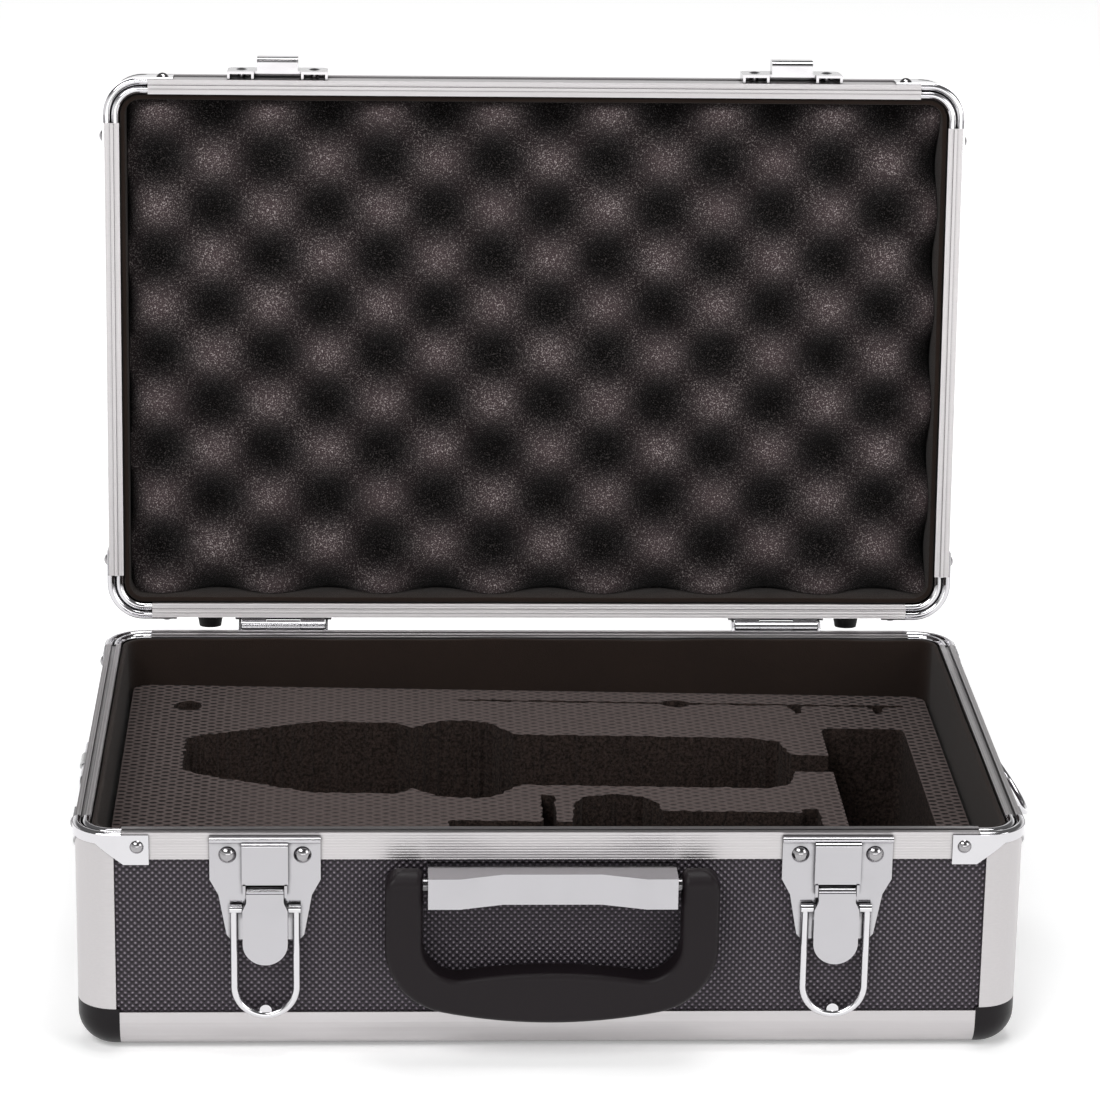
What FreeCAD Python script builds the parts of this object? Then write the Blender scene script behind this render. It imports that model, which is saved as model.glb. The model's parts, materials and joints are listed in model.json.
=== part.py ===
import FreeCAD, Part
import Sketcher
import math
import os
from FreeCAD import Placement, Rotation, Vector

# Aluminium tool case with a hinged lid, drawn open.
# Millimetres. X runs to the right, Y to the back and Z up.
# The origin is the centre of the face that the case stands on.

doc = FreeCAD.newDocument("ToolCase")
sheet = doc.addObject("Spreadsheet::Sheet", "Sizes")
aliases = []
sub_parts = []


class Size:
    """A number together with the sheet formula that gives it, so that sums keep their link."""

    def __init__(self, number, formula):
        self.number = number
        self.formula = formula

    def __add__(self, other):
        other = as_size(other)
        return Size(self.number + other.number, f"({self.formula} + {other.formula})")

    def __radd__(self, other):
        return as_size(other) + self

    def __sub__(self, other):
        other = as_size(other)
        return Size(self.number - other.number, f"({self.formula} - {other.formula})")

    def __rsub__(self, other):
        return as_size(other) - self

    def __mul__(self, other):
        other = as_size(other)
        return Size(self.number * other.number, f"({self.formula} * {other.formula})")

    def __rmul__(self, other):
        return as_size(other) * self

    def __truediv__(self, other):
        other = as_size(other)
        return Size(self.number / other.number, f"({self.formula} / {other.formula})")

    def __neg__(self):
        return 0 - self


def as_size(value):
    """Lets a plain number stand where a size may stand."""
    if isinstance(value, Size):
        return value
    return Size(float(value), f"({float(value)})")


def root(value):
    return Size(math.sqrt(value.number), f"sqrt({value.formula})")


def sine(value):
    return Size(math.sin(math.radians(value.number)), f"sin({value.formula})")


def cosine(value):
    return Size(math.cos(math.radians(value.number)), f"cos({value.formula})")


def size(alias, number):
    """Writes one driving size into the sheet and gives it back with its link."""
    aliases.append(alias)
    row = len(aliases)
    sheet.set(f"A{row}", alias)
    sheet.set(f"B{row}", str(number))
    sheet.setAlias(f"B{row}", alias)
    return Size(float(number), f"Sizes.{alias}")


# Outside of the case
case_width = size("case_width", 340)
case_depth = size("case_depth", 217)
base_height = size("base_height", 85.5)
lid_height = size("lid_height", 34.5)
lid_gap = size("lid_gap", 0.5)
lid_open = size("lid_open", 96)

# Walls: aluminium skin, laminated board, and the clearances between pieces
skin = size("skin", 1.2)
board = size("board", 3.4)
thin_gap = size("thin_gap", 0.1)
soft_gap = size("soft_gap", 0.3)

# Rounded corner posts, rounded edges and plastic ball corners
post_radius = size("post_radius", 14)
post_cover = size("post_cover", 14.5)
edge_radius = size("edge_radius", 12)
edge_cover = size("edge_cover", 16)
edge_lip = size("edge_lip", 15)
ball_width = size("ball_width", 15.7)
ball_height = size("ball_height", 17.3)

# Grooved rails round the opening, and their chromed corners
rim_height = size("rim_height", 10.2)
rim_inner_height = size("rim_inner_height", 6)
rim_web = size("rim_web", 3)
rim_corner = size("rim_corner", 17.2)
groove_depth = size("groove_depth", 0.9)
groove_width = size("groove_width", 1.8)
tongue_height = size("tongue_height", 0.7)
tongue_width = size("tongue_width", 1.2)
chrome = size("chrome", 0.8)
corner_skirt = size("corner_skirt", 4.3)
wing_reach = size("wing_reach", 27)
wing_height = size("wing_height", 12)
wing_slant_start = size("wing_slant_start", 18)
wing_slant_end = size("wing_slant_end", 8)
wing_top = size("wing_top", 0.8)

# Rivets
rivet_head = size("rivet_head", 2.5)
rivet_dome = size("rivet_dome", 1.5)
rivet_shank = size("rivet_shank", 1.5)
corner_rivet_reach = size("corner_rivet_reach", 22.8)
corner_rivet_drop = size("corner_rivet_drop", 5.2)

# Lining and foam of the base, and of the lid
lining = size("lining", 2)
lining_drop = size("lining_drop", 1)
floor_pad = size("floor_pad", 4)
foam_side_gap = size("foam_side_gap", 1.9)
foam_high = size("foam_high", 20.5)
foam_low = size("foam_low", 25.5)
foam_floor = size("foam_floor", 16)
lid_foam_depth = size("lid_foam_depth", 24)
hill_margin_left = size("hill_margin_left", 12.2)
hill_margin_right = size("hill_margin_right", 20.45)
hill_margin_front = size("hill_margin_front", 24.25)
hill_margin_back = size("hill_margin_back", 18.75)
hill_gap = size("hill_gap", 0.225)
hill_rise = size("hill_rise", 5.6)
HILL_COLUMNS = 14
HILL_ROWS = 9
HILL_SLOPE = 45

# Pockets of the foam: one for a long tool with a wide collar, its lead, a box and a smaller tool
tool_row = size("tool_row", 23)
tool_tip_inset = size("tool_tip_inset", 23.2)
tool_tip_half = size("tool_tip_half", 20)
tool_tip_round = size("tool_tip_round", 4.5)
tool_shoulder_reach = size("tool_shoulder_reach", 50)
tool_half = size("tool_half", 38)
waist_reach = size("waist_reach", 88)
waist_slope = size("waist_slope", 6)
waist_half = size("waist_half", 32)
collar_reach = size("collar_reach", 37)
collar_slope = size("collar_slope", 8)
collar_rise = size("collar_rise", 7)
collar_half = size("collar_half", 45)
shaft_half = size("shaft_half", 27)
shaft_step = size("shaft_step", 5)
lead_length = size("lead_length", 15.5)
shaft_round = size("shaft_round", 12)
lead_half = size("lead_half", 9)
box_inset = size("box_inset", 12.7)
box_width = size("box_width", 33)
box_back = size("box_back", 62)
box_front = size("box_front", -74)
box_round = size("box_round", 4)
small_front = size("small_front", -84)
small_left = size("small_left", -36)
small_back = size("small_back", -41)
slot_left = size("slot_left", -0.5)
slot_right = size("slot_right", 5)
slot_back = size("slot_back", -14)
dome_place = size("dome_place", 28)
dome_radius = size("dome_radius", 17)
dome_middle = size("dome_middle", -29)
small_right_back = size("small_right_back", -28.5)
end_slot_left = size("end_slot_left", 97.5)
end_slot_right = size("end_slot_right", 104.5)
end_slot_back = size("end_slot_back", -25)
finger_hole_inset = size("finger_hole_inset", 22.7)
finger_hole_row = size("finger_hole_row", 77)
finger_hole = size("finger_hole", 5.4)
slit_row = size("slit_row", 88)
slit_left = size("slit_left", -30)
slit_inset = size("slit_inset", 9.7)
slit_width = size("slit_width", 1.2)
eye_place = size("eye_place", 58)
eye_half = size("eye_half", 7)
eye_radius = size("eye_radius", 9)
slit_depth = size("slit_depth", 18)

# Handle: chromed bracket, pins and black grip
bracket_half = size("bracket_half", 44.2)
bracket_drop = size("bracket_drop", 11.8)
bracket_tall = size("bracket_tall", 11.5)
bracket_out = size("bracket_out", 15)
bracket_middle_out = size("bracket_middle_out", 10.5)
bracket_end_flat = size("bracket_end_flat", 11)
bracket_middle_half = size("bracket_middle_half", 17.5)
bracket_wall = size("bracket_wall", 1.6)
grip_half = size("grip_half", 59.5)
grip_thick = size("grip_thick", 12)
grip_gap = size("grip_gap", 1.8)
grip_back_gap = size("grip_back_gap", 1.5)
grip_drop = size("grip_drop", 11)
grip_bottom = size("grip_bottom", 68.5)
grip_shoulder = size("grip_shoulder", 7)
grip_corner = size("grip_corner", 26)
grip_belly = size("grip_belly", 190)
grip_inner_corner = size("grip_inner_corner", 13)
grip_inner_bottom = size("grip_inner_bottom", 51.5)
grip_crown = size("grip_crown", 2.5)
grip_fillet = size("grip_fillet", 2.4)
pin_radius = size("pin_radius", 2.5)
pin_fit = size("pin_fit", 0.06)
pin_reach = size("pin_reach", 7)

# Latches on the front
latch_inset = size("latch_inset", 68.1)
plate_thick = size("plate_thick", 1)
plate_half = size("plate_half", 19.7)
plate_top = size("plate_top", 1.2)
plate_shoulder_top = size("plate_shoulder_top", 17.6)
plate_shoulder_low = size("plate_shoulder_low", 23.4)
plate_waist_half = size("plate_waist_half", 16.6)
plate_low_half = size("plate_low_half", 13.8)
plate_end_half = size("plate_end_half", 12.3)
plate_end = size("plate_end", 40.6)
plate_end_cut = size("plate_end_cut", 1.8)
lip_tall = size("lip_tall", 2.2)
lip_out = size("lip_out", 2.7)
plate_bend = size("plate_bend", 1.4)
bridge_half = size("bridge_half", 8.2)
bridge_top = size("bridge_top", 3)
bridge_low = size("bridge_low", 18.6)
bridge_out = size("bridge_out", 3.8)
latch_rivet_reach = size("latch_rivet_reach", 13.3)
latch_rivet_drop = size("latch_rivet_drop", 8)
latch_rivet_head = size("latch_rivet_head", 3.2)
latch_rivet_dome = size("latch_rivet_dome", 2)
lever_drop = size("lever_drop", 21.6)
lever_pin_out = size("lever_pin_out", 2.9)
lever_pin = size("lever_pin", 0.9)
knuckle_radius = size("knuckle_radius", 1.7)
neck_half = size("neck_half", 6.6)
ear_thick = size("ear_thick", 1)
ear_half_tall = size("ear_half_tall", 1.6)
lever_half = size("lever_half", 8)
lever_wide_drop = size("lever_wide_drop", 28)
lever_end = size("lever_end", 48.9)
lever_thick = size("lever_thick", 1.2)
lever_out = size("lever_out", 3.9)
flange_thick = size("flange_thick", 1)
flange_tall = size("flange_tall", 7)
bail_drop = size("bail_drop", 28)
bail_out = size("bail_out", 2.8)
bail_wire = size("bail_wire", 1.35)
bail_pin = size("bail_pin", 0.8)
bail_half = size("bail_half", 11.1)
bail_bottom = size("bail_bottom", 69.1)
bail_sleeve = size("bail_sleeve", 1.6)
bail_sleeve_half = size("bail_sleeve_half", 12.6)
bail_tab = size("bail_tab", 2.15)
bail_tab_thick = size("bail_tab_thick", 1.4)

# Catches on the lid that the bails hook over
keeper_half = size("keeper_half", 19.8)
keeper_near = size("keeper_near", 2)
keeper_far = size("keeper_far", 20)
keeper_out = size("keeper_out", 3.2)
keeper_round = size("keeper_round", 4)
keeper_bridge_near = size("keeper_bridge_near", 4.5)
keeper_bridge_far = size("keeper_bridge_far", 13.5)
keeper_bridge_half = size("keeper_bridge_half", 8.1)
keeper_bridge_out = size("keeper_bridge_out", 8.6)
keeper_bend = size("keeper_bend", 2)
keeper_rivet_dome = size("keeper_rivet_dome", 0.6)
keeper_slot_half = size("keeper_slot_half", 9.3)
keeper_rivet_reach = size("keeper_rivet_reach", 14.4)
keeper_rivet_place = size("keeper_rivet_place", 12.5)

# Hinges at the back
hinge_inset = size("hinge_inset", 70)
hinge_out = size("hinge_out", 3.6)
hinge_barrel = size("hinge_barrel", 2.5)
hinge_pin = size("hinge_pin", 1.2)
hinge_leaf_half = size("hinge_leaf_half", 19.4)
hinge_leaf_near = size("hinge_leaf_near", 1.6)
hinge_leaf_far = size("hinge_leaf_far", 18)
hinge_leaf_thick = size("hinge_leaf_thick", 1.2)
hinge_middle_half = size("hinge_middle_half", 6.7)
hinge_barrel_half = size("hinge_barrel_half", 16.7)
hinge_knuckle_gap = size("hinge_knuckle_gap", 0.15)
gusset_thick = size("gusset_thick", 1)
gusset_out = size("gusset_out", 6.5)
gusset_low = size("gusset_low", 10)
hinge_rivet_reach = size("hinge_rivet_reach", 12)
hinge_rivet_drop = size("hinge_rivet_drop", 12)

# Strap rings at the sides
strap_plate_half = size("strap_plate_half", 8)
strap_plate_top = size("strap_plate_top", 12)
strap_plate_low = size("strap_plate_low", 30)
strap_out = size("strap_out", 2.6)
strap_drop = size("strap_drop", 15)
strap_barrel = size("strap_barrel", 1.9)
strap_barrel_half = size("strap_barrel_half", 5)
ring_wire = size("ring_wire", 1.05)
ring_fit = size("ring_fit", 0.1)
ring_half = size("ring_half", 20.5)
ring_corner = size("ring_corner", 3)
ring_lean_angle = size("ring_lean_angle", 37)
strap_rivet_reach = size("strap_rivet_reach", 4.5)
strap_rivet_drop = size("strap_rivet_drop", 24.5)

# Rubber feet on the back
foot_inset = size("foot_inset", 40)
foot_radius = size("foot_radius", 5.6)
foot_tip_radius = size("foot_tip_radius", 4.4)
foot_tall = size("foot_tall", 6.5)
foot_recess = size("foot_recess", 2)
base_foot_drop = size("base_foot_drop", 50)
foot_stub = size("foot_stub", 3.6)
lid_foot_drop = size("lid_foot_drop", 14.4)

# Values that follow from the sizes
half_width = case_width / 2
half_depth = case_depth / 2
wall = skin + board + skin
board_in = skin + board
lining_out = wall + soft_gap
lining_in = lining_out + lining
mating = base_height
lid_mating = base_height + lid_gap
lid_top = lid_mating + lid_height
hinge_y = half_depth + hinge_out
hinge_z = base_height + lid_gap / 2
hole_radius = rivet_shank + thin_gap
latch_place = half_width - latch_inset
hinge_place = half_width - hinge_inset
foot_place = half_width - foot_inset
foam_half = half_width - lining_in - soft_gap - foam_side_gap
tool_tip = tool_tip_inset - foam_half
tool_shoulder = tool_tip + tool_shoulder_reach
waist_place = tool_tip + waist_reach
collar_end = waist_place + collar_reach
box_right = foam_half - box_inset
box_left = box_right - box_width
shaft_end = box_left - lead_length
finger_hole_place = finger_hole_inset - foam_half
slit_right = foam_half - slit_inset
lid_foam_half = half_width - lining_in - soft_gap
lid_foam_deep = half_depth - lining_in - soft_gap
hill_first_x = hill_margin_left - lid_foam_half
hill_first_y = hill_margin_front - lid_foam_deep
hill_step_x = (2 * lid_foam_half - hill_margin_left - hill_margin_right) / (HILL_COLUMNS - 1)
hill_step_y = (2 * lid_foam_deep - hill_margin_front - hill_margin_back) / (HILL_ROWS - 1)
hill_foot = hill_step_y / 2 - hill_gap


def bind(thing, path, value):
    """Ties one property to the sheet."""
    thing.setExpression(path, as_size(value).formula)


def new_body(name):
    body = doc.addObject("PartDesign::Body", name)
    body.Label = name
    return body


def keep(thing, name):
    """Names a finished sub-part and puts it on the list that is written out."""
    thing.Label = name
    sub_parts.append(thing)
    return thing


# Role of the origin plane, and the sense of its normal along the axis
PLANES = {"XY": ("XY_Plane", 1), "XZ": ("XZ_Plane", -1), "YZ": ("YZ_Plane", 1)}


def new_sketch(body, plane, level, origin=(0, 0)):
    """A sketch on one of the body's origin planes, moved to a level along its axis."""
    role, sense = PLANES[plane]
    face = next(f for f in body.Origin.OriginFeatures if f.Role == role)
    sketch = body.newObject("Sketcher::SketchObject", body.Name + "_outline")
    sketch.AttachmentSupport = [(face, "")]
    sketch.MapMode = "FlatFace"
    bind(sketch, "AttachmentOffset.Base.x", origin[0])
    bind(sketch, "AttachmentOffset.Base.y", origin[1])
    bind(sketch, "AttachmentOffset.Base.z", as_size(level) * sense)
    return sketch


def arc_between(start, end, radius):
    """The short arc from start to end, counter-clockwise when the radius is positive."""
    along = end - start
    across = Vector(-along.y, along.x, 0)
    across.normalize()
    reach = math.sqrt(max(radius**2 - (along.Length / 2) ** 2, 0))
    centre = start + along / 2 + across * math.copysign(reach, radius)
    first, last = (start, end) if radius > 0 else (end, start)
    angles = [math.atan2(p.y - centre.y, p.x - centre.x) for p in (first, last)]
    circle = Part.Circle(centre, Vector(0, 0, 1), abs(radius))
    return Part.ArcOfCircle(circle, angles[0], angles[1])


def draw_outline(sketch, points, closed=True):
    """Joins the points. A third number makes the stretch that ends there an arc of that radius."""
    points = [tuple(as_size(v) for v in p) for p in points]
    spots = [Vector(p[0].number, p[1].number, 0) for p in points]
    first_edge = sketch.GeometryCount
    ties = []
    edges = []
    ends = []
    stretches = len(points) if closed else len(points) - 1
    for i in range(stretches):
        j = (i + 1) % len(points)
        edge = first_edge + i
        start_mark = 1
        if len(points[j]) == 3:
            radius = points[j][2]
            edges.append(arc_between(spots[i], spots[j], radius.number))
            if radius.number < 0:
                start_mark = 2
            chord = spots[j] - spots[i]
            if abs(chord.Length - 2 * abs(radius.number)) > 1e-6:
                absolute = radius if radius.number > 0 else -radius
                ties.append(("Radius", edge, absolute))
            elif abs(chord.x) > abs(chord.y):
                ties.append(("DistanceY", -1, 1, edge, 3, (points[i][1] + points[j][1]) / 2))
            else:
                ties.append(("DistanceX", -1, 1, edge, 3, (points[i][0] + points[j][0]) / 2))
        else:
            edges.append(Part.LineSegment(spots[i], spots[j]))
        ends.append((edge, start_mark, 3 - start_mark))
        ties.append(("DistanceX", -1, 1, edge, start_mark, points[i][0]))
        ties.append(("DistanceY", -1, 1, edge, start_mark, points[i][1]))
    if not closed:
        edge, _, mark = ends[-1]
        ties.append(("DistanceX", -1, 1, edge, mark, points[-1][0]))
        ties.append(("DistanceY", -1, 1, edge, mark, points[-1][1]))
    joints = []
    for i in range(stretches if closed else stretches - 1):
        edge, _, mark = ends[i]
        other, other_mark, _ = ends[(i + 1) % stretches]
        joints.append(Sketcher.Constraint("Coincident", edge, mark, other, other_mark))
    sketch.addGeometry(edges, False)
    sketch.addConstraint(joints)
    tie(sketch, ties)


def draw_ring(sketch, ring):
    """A circle given as its centre and radius."""
    across, up, radius = (as_size(v) for v in ring)
    centre = Vector(across.number, up.number, 0)
    edge = sketch.addGeometry(Part.Circle(centre, Vector(0, 0, 1), radius.number), False)
    tie(
        sketch,
        [
            ("DistanceX", -1, 1, edge, 3, across),
            ("DistanceY", -1, 1, edge, 3, up),
            ("Radius", edge, radius),
        ],
    )


def tie(sketch, ties):
    """Adds dimensions, each bound to its formula."""
    first = sketch.ConstraintCount
    constraints = [Sketcher.Constraint(*t[:-1], t[-1].number) for t in ties]
    sketch.addConstraint(constraints)
    for i, t in enumerate(ties):
        if "Sizes." in t[-1].formula:
            sketch.setExpression(f"Constraints[{first + i}]", t[-1].formula)


def draw(body, plane, level, outlines=(), rings=(), origin=(0, 0)):
    sketch = new_sketch(body, plane, level, origin)
    for points in outlines:
        draw_outline(sketch, points)
    for ring in rings:
        draw_ring(sketch, ring)
    sketch.Visibility = False
    return sketch


def extruded(kind, body, plane, sketch, length, toward):
    """A pad or pocket from a sketch, along its axis (1), against it (-1) or both ways (0)."""
    feature = body.newObject(kind, body.Name + "_" + kind.split("::")[1].lower())
    feature.Profile = sketch
    bind(feature, "Length", length)
    if toward == 0:
        feature.SideType = "Symmetric"
    normal = PLANES[plane][1]
    forward = normal if kind == "PartDesign::Pad" else -normal
    feature.Reversed = toward * forward < 0
    return feature


def pad(body, plane, level, outlines, length, toward=1, rings=()):
    sketch = draw(body, plane, level, outlines, rings)
    return extruded("PartDesign::Pad", body, plane, sketch, length, toward)


def pocket(body, plane, level, outlines, length, toward=1, rings=()):
    sketch = draw(body, plane, level, outlines, rings)
    return extruded("PartDesign::Pocket", body, plane, sketch, length, toward)


def turned(body, plane, level, outline, origin=(0, 0), angle=360, reverse=False):
    """A solid turned about the vertical axis of its sketch."""
    sketch = draw(body, plane, level, [outline], (), origin)
    feature = body.newObject("PartDesign::Revolution", body.Name + "_turned")
    feature.Profile = sketch
    feature.ReferenceAxis = (sketch, ["V_Axis"])
    bind(feature, "Angle", angle)
    feature.Reversed = reverse
    return feature


def rectangle(left, right, low, high):
    return [(left, low), (right, low), (right, high), (left, high)]


def rounded(left, right, low, high, radius):
    return [
        (left + radius, low, radius),
        (right - radius, low),
        (right, low + radius, radius),
        (right, high - radius),
        (right - radius, high, radius),
        (left + radius, high),
        (left, high - radius, radius),
        (left, low + radius),
    ]


def placed(points, across, across_sense, up, up_sense):
    """Puts an outline that is measured from a corner at that corner, mirrored as its senses say."""
    result = []
    for point in points:
        spot = [across + point[0] * across_sense, up + point[1] * up_sense]
        if len(point) == 3:
            spot.append(point[2] * (across_sense * up_sense))
        result.append(tuple(spot))
    return result


def mirrored(source, axis):
    """The same solid on the other side of the case."""
    copy = doc.addObject("Part::Mirroring", source.Name + "_mirror_" + axis)
    copy.Source = source
    copy.Normal = Vector(1, 0, 0) if axis == "X" else Vector(0, 1, 0)
    return copy


def group(name, solids):
    """One sub-part of several separate solids."""
    compound = doc.addObject("Part::Compound", name)
    compound.Links = solids
    return keep(compound, name)


def four_corners(name, corner):
    """The solid at the right front corner, and its copies at the other three."""
    right = [corner, mirrored(corner, "Y")]
    return group(name, right + [mirrored(solid, "X") for solid in right])


def turn_open(thing):
    """Swings a piece that is drawn with the lid shut back about the hinge."""
    thing.Placement = Placement(Vector(), Rotation(Vector(1, 0, 0), -lid_open.number))
    bind(thing, "Placement.Rotation.Angle", -lid_open)
    along = hinge_y * (1 - cosine(lid_open)) - hinge_z * sine(lid_open)
    height = hinge_z * (1 - cosine(lid_open)) + hinge_y * sine(lid_open)
    bind(thing, "Placement.Base.y", along)
    bind(thing, "Placement.Base.z", height)


class Half:
    """The base or the lid, with heights counted from its outer face or down from its mating face."""

    def __init__(self, name, outer, face, up):
        self.name = name
        self.outer = outer
        self.face = face
        self.up = up

    def above_outer(self, distance):
        return self.outer + as_size(distance) * self.up

    def below_face(self, distance):
        return self.face - as_size(distance) * self.up

    def wall_span(self):
        """Height of the board walls, from the edge extrusion to under the rail's web."""
        return sorted((self.above_outer(edge_radius), self.below_face(rim_web)), key=lambda s: s.number)


BASE = Half("base", as_size(0), mating, 1)
LID = Half("lid", lid_top, lid_mating, -1)


def extrusion(radius, cover_wall, cover_flat, lip):
    """Section of a rounded corner extrusion that grips two boards, measured from its outer corner.

    Its skin lies over the boards, a web stops each board's end, and lips hold the boards from inside."""
    hollow = radius - skin
    meet = radius - root(hollow * hollow - skin * skin)
    return [
        (0, cover_wall),
        (0, radius),
        (radius, 0, radius),
        (cover_flat, 0),
        (cover_flat, skin),
        (radius, skin),
        (radius, board_in),
        (lip, board_in),
        (lip, wall),
        (hollow, wall),
        (hollow, meet),
        (meet, hollow, -hollow),
        (wall, hollow),
        (wall, lip),
        (board_in, lip),
        (board_in, radius),
        (skin, radius),
        (skin, cover_wall),
    ]


# Places of the rivets on each wall, as distance along the wall and distance from the mating face
def corner_spots(half_length):
    reach = half_length - corner_rivet_reach
    return [(reach, corner_rivet_drop), (-reach, corner_rivet_drop)]


def paired_spots(centre, reach, drop):
    spots = []
    for side in (-1, 1):
        for end in (-1, 1):
            spots.append((centre * side + reach * end, drop))
    return spots


hinge_spots = paired_spots(hinge_place, hinge_rivet_reach, hinge_rivet_drop)
latch_spots = paired_spots(latch_place, latch_rivet_reach, latch_rivet_drop)
keeper_spots = paired_spots(latch_place, keeper_rivet_reach, keeper_rivet_place)
strap_spots = [(strap_rivet_reach, strap_rivet_drop), (-strap_rivet_reach, strap_rivet_drop)]

WALL_SPOTS = {
    ("base", "front"): corner_spots(half_width) + latch_spots,
    ("base", "back"): corner_spots(half_width) + hinge_spots,
    ("base", "left"): corner_spots(half_depth) + strap_spots,
    ("base", "right"): corner_spots(half_depth) + strap_spots,
    ("lid", "front"): corner_spots(half_width) + keeper_spots,
    ("lid", "back"): corner_spots(half_width) + hinge_spots,
    ("lid", "left"): corner_spots(half_depth),
    ("lid", "right"): corner_spots(half_depth),
}


def drill(body, plane, level, toward, half, spots, depth):
    """Rivet holes through a board or a rail's skin."""
    rings = [(along, half.below_face(drop), hole_radius) for along, drop in spots]
    pocket(body, plane, level, [], depth, toward, rings)


# Walls as plane, outer level's half length, side, and the half length along the wall
WALLS = {
    "front": ("XZ", half_depth, -1, half_width),
    "back": ("XZ", half_depth, 1, half_width),
    "left": ("YZ", half_width, -1, half_depth),
    "right": ("YZ", half_width, 1, half_depth),
}


def make_wall_board(half, side):
    plane, out, sense, along = WALLS[side]
    body = new_body(f"{half.name}_{side}_panel")
    low, high = half.wall_span()
    level = (out - skin) * sense
    span = along - post_radius
    pad(body, plane, level, [rectangle(-span, span, low, high)], board, -sense)
    drill(body, plane, level, -sense, half, WALL_SPOTS[half.name, side], board)
    return keep(body, body.Name)


def make_flat_board(half, name):
    """The bottom or top board. Its middle is flush with the edge extrusions outside."""
    body = new_body(name)
    across = half_width - edge_radius
    deep = half_depth - edge_radius
    outline = rectangle(-across, across, -deep, deep)
    pad(body, "XY", half.above_outer(skin), [outline], board, half.up)
    across = half_width - ball_width
    deep = half_depth - ball_width
    outline = rectangle(-across, across, -deep, deep)
    pad(body, "XY", half.above_outer(0), [outline], skin, half.up)
    return keep(body, name)


def rail_section(half):
    """Section of a rail, as depth in from the outside and distance from the mating face."""
    middle = wall / 2
    if half is LID:
        feature = [
            (middle - tongue_width / 2, 0),
            (middle - tongue_width / 2, -tongue_height),
            (middle + tongue_width / 2, -tongue_height),
            (middle + tongue_width / 2, 0),
        ]
    else:
        feature = [
            (middle - groove_width / 2, 0),
            (middle - groove_width / 2, groove_depth),
            (middle + groove_width / 2, groove_depth),
            (middle + groove_width / 2, 0),
        ]
    return [
        (0, 0),
        *feature,
        (wall, 0),
        (wall, rim_inner_height),
        (board_in, rim_inner_height),
        (board_in, rim_web),
        (skin, rim_web),
        (skin, rim_height),
        (0, rim_height),
    ]


def make_rail(half, side):
    plane, out, sense, along = WALLS[side]
    section_plane = "YZ" if plane == "XZ" else "XZ"
    body = new_body(f"{half.name}_rim_{side}")
    section = placed(rail_section(half), out * sense, -sense, half.face, -half.up)
    pad(body, section_plane, 0, [section], (along - rim_corner) * 2, 0)
    spots = [spot for spot in WALL_SPOTS[half.name, side] if spot[1].number < rim_height.number]
    drill(body, plane, out * sense, -sense, half, spots, skin)
    return keep(body, body.Name)


def make_posts(half):
    body = new_body(f"{half.name}_corner_post")
    section = extrusion(post_radius, post_cover, post_cover, rim_corner - thin_gap * 2)
    outline = placed(section, half_width, -1, -half_depth, 1)
    height = (half.face - half.outer) * half.up - ball_height - rim_web
    pad(body, "XY", half.above_outer(ball_height), [outline], height, half.up)
    return four_corners(f"{half.name}_corner_posts", body)


def make_edges(half, name):
    section = extrusion(edge_radius, edge_cover, ball_width, edge_lip)
    front = new_body(f"{half.name}_front_edge")
    outline = placed(section, -half_depth, 1, half.outer, half.up)
    pad(front, "YZ", 0, [outline], (half_width - ball_width) * 2, 0)
    side = new_body(f"{half.name}_side_edge")
    outline = placed(section, half_width, -1, half.outer, half.up)
    pad(side, "XZ", 0, [outline], (half_depth - ball_width) * 2, 0)
    return group(name, [front, mirrored(front, "Y"), side, mirrored(side, "X")])


def corner_sweep(body, outline, straight, straight_outline=None):
    """Carries a section along the front, round the right front corner and along the side.

    The section is drawn with its first number counted inwards from the corner's centre."""
    front = [(-p[0], *p[1:2], *[-r for r in p[2:]]) for p in outline]
    run = straight_outline or outline
    front_run = [(-p[0], *p[1:2], *[-r for r in p[2:]]) for p in run]
    centre_x = half_width - post_radius
    centre_y = post_radius - half_depth
    for plane, level, origin, section, toward in (
        ("YZ", centre_x, (centre_y, 0), front_run, -1),
        ("XZ", centre_y, (centre_x, 0), run, 1),
    ):
        sketch = draw(body, plane, level, [section], (), origin)
        extruded("PartDesign::Pad", body, plane, sketch, straight, toward)
    turned(body, "YZ", centre_x, front, (centre_y, 0), 90)


def make_ball_corners(half):
    """Plastic caps: quarter-round shells that close over the ends of posts and edges."""
    body = new_body(f"{half.name}_ball_corner")
    shell = skin - thin_gap
    flat = post_radius - edge_radius

    def section(start):
        inner = edge_radius - shell
        rows = [
            (start, 0),
            (flat, 0),
            (post_radius, edge_radius, edge_radius),
            (post_radius, ball_height),
            (post_radius - shell, ball_height),
            (post_radius - shell, edge_radius),
            (flat, shell, -inner),
            (start, shell),
        ]
        return placed(rows, as_size(0), 1, half.outer, half.up)

    straight = ball_width - post_radius
    corner_sweep(body, section(0), straight, section(-straight))
    return four_corners(f"{half.name}_ball_corners", body)


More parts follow.
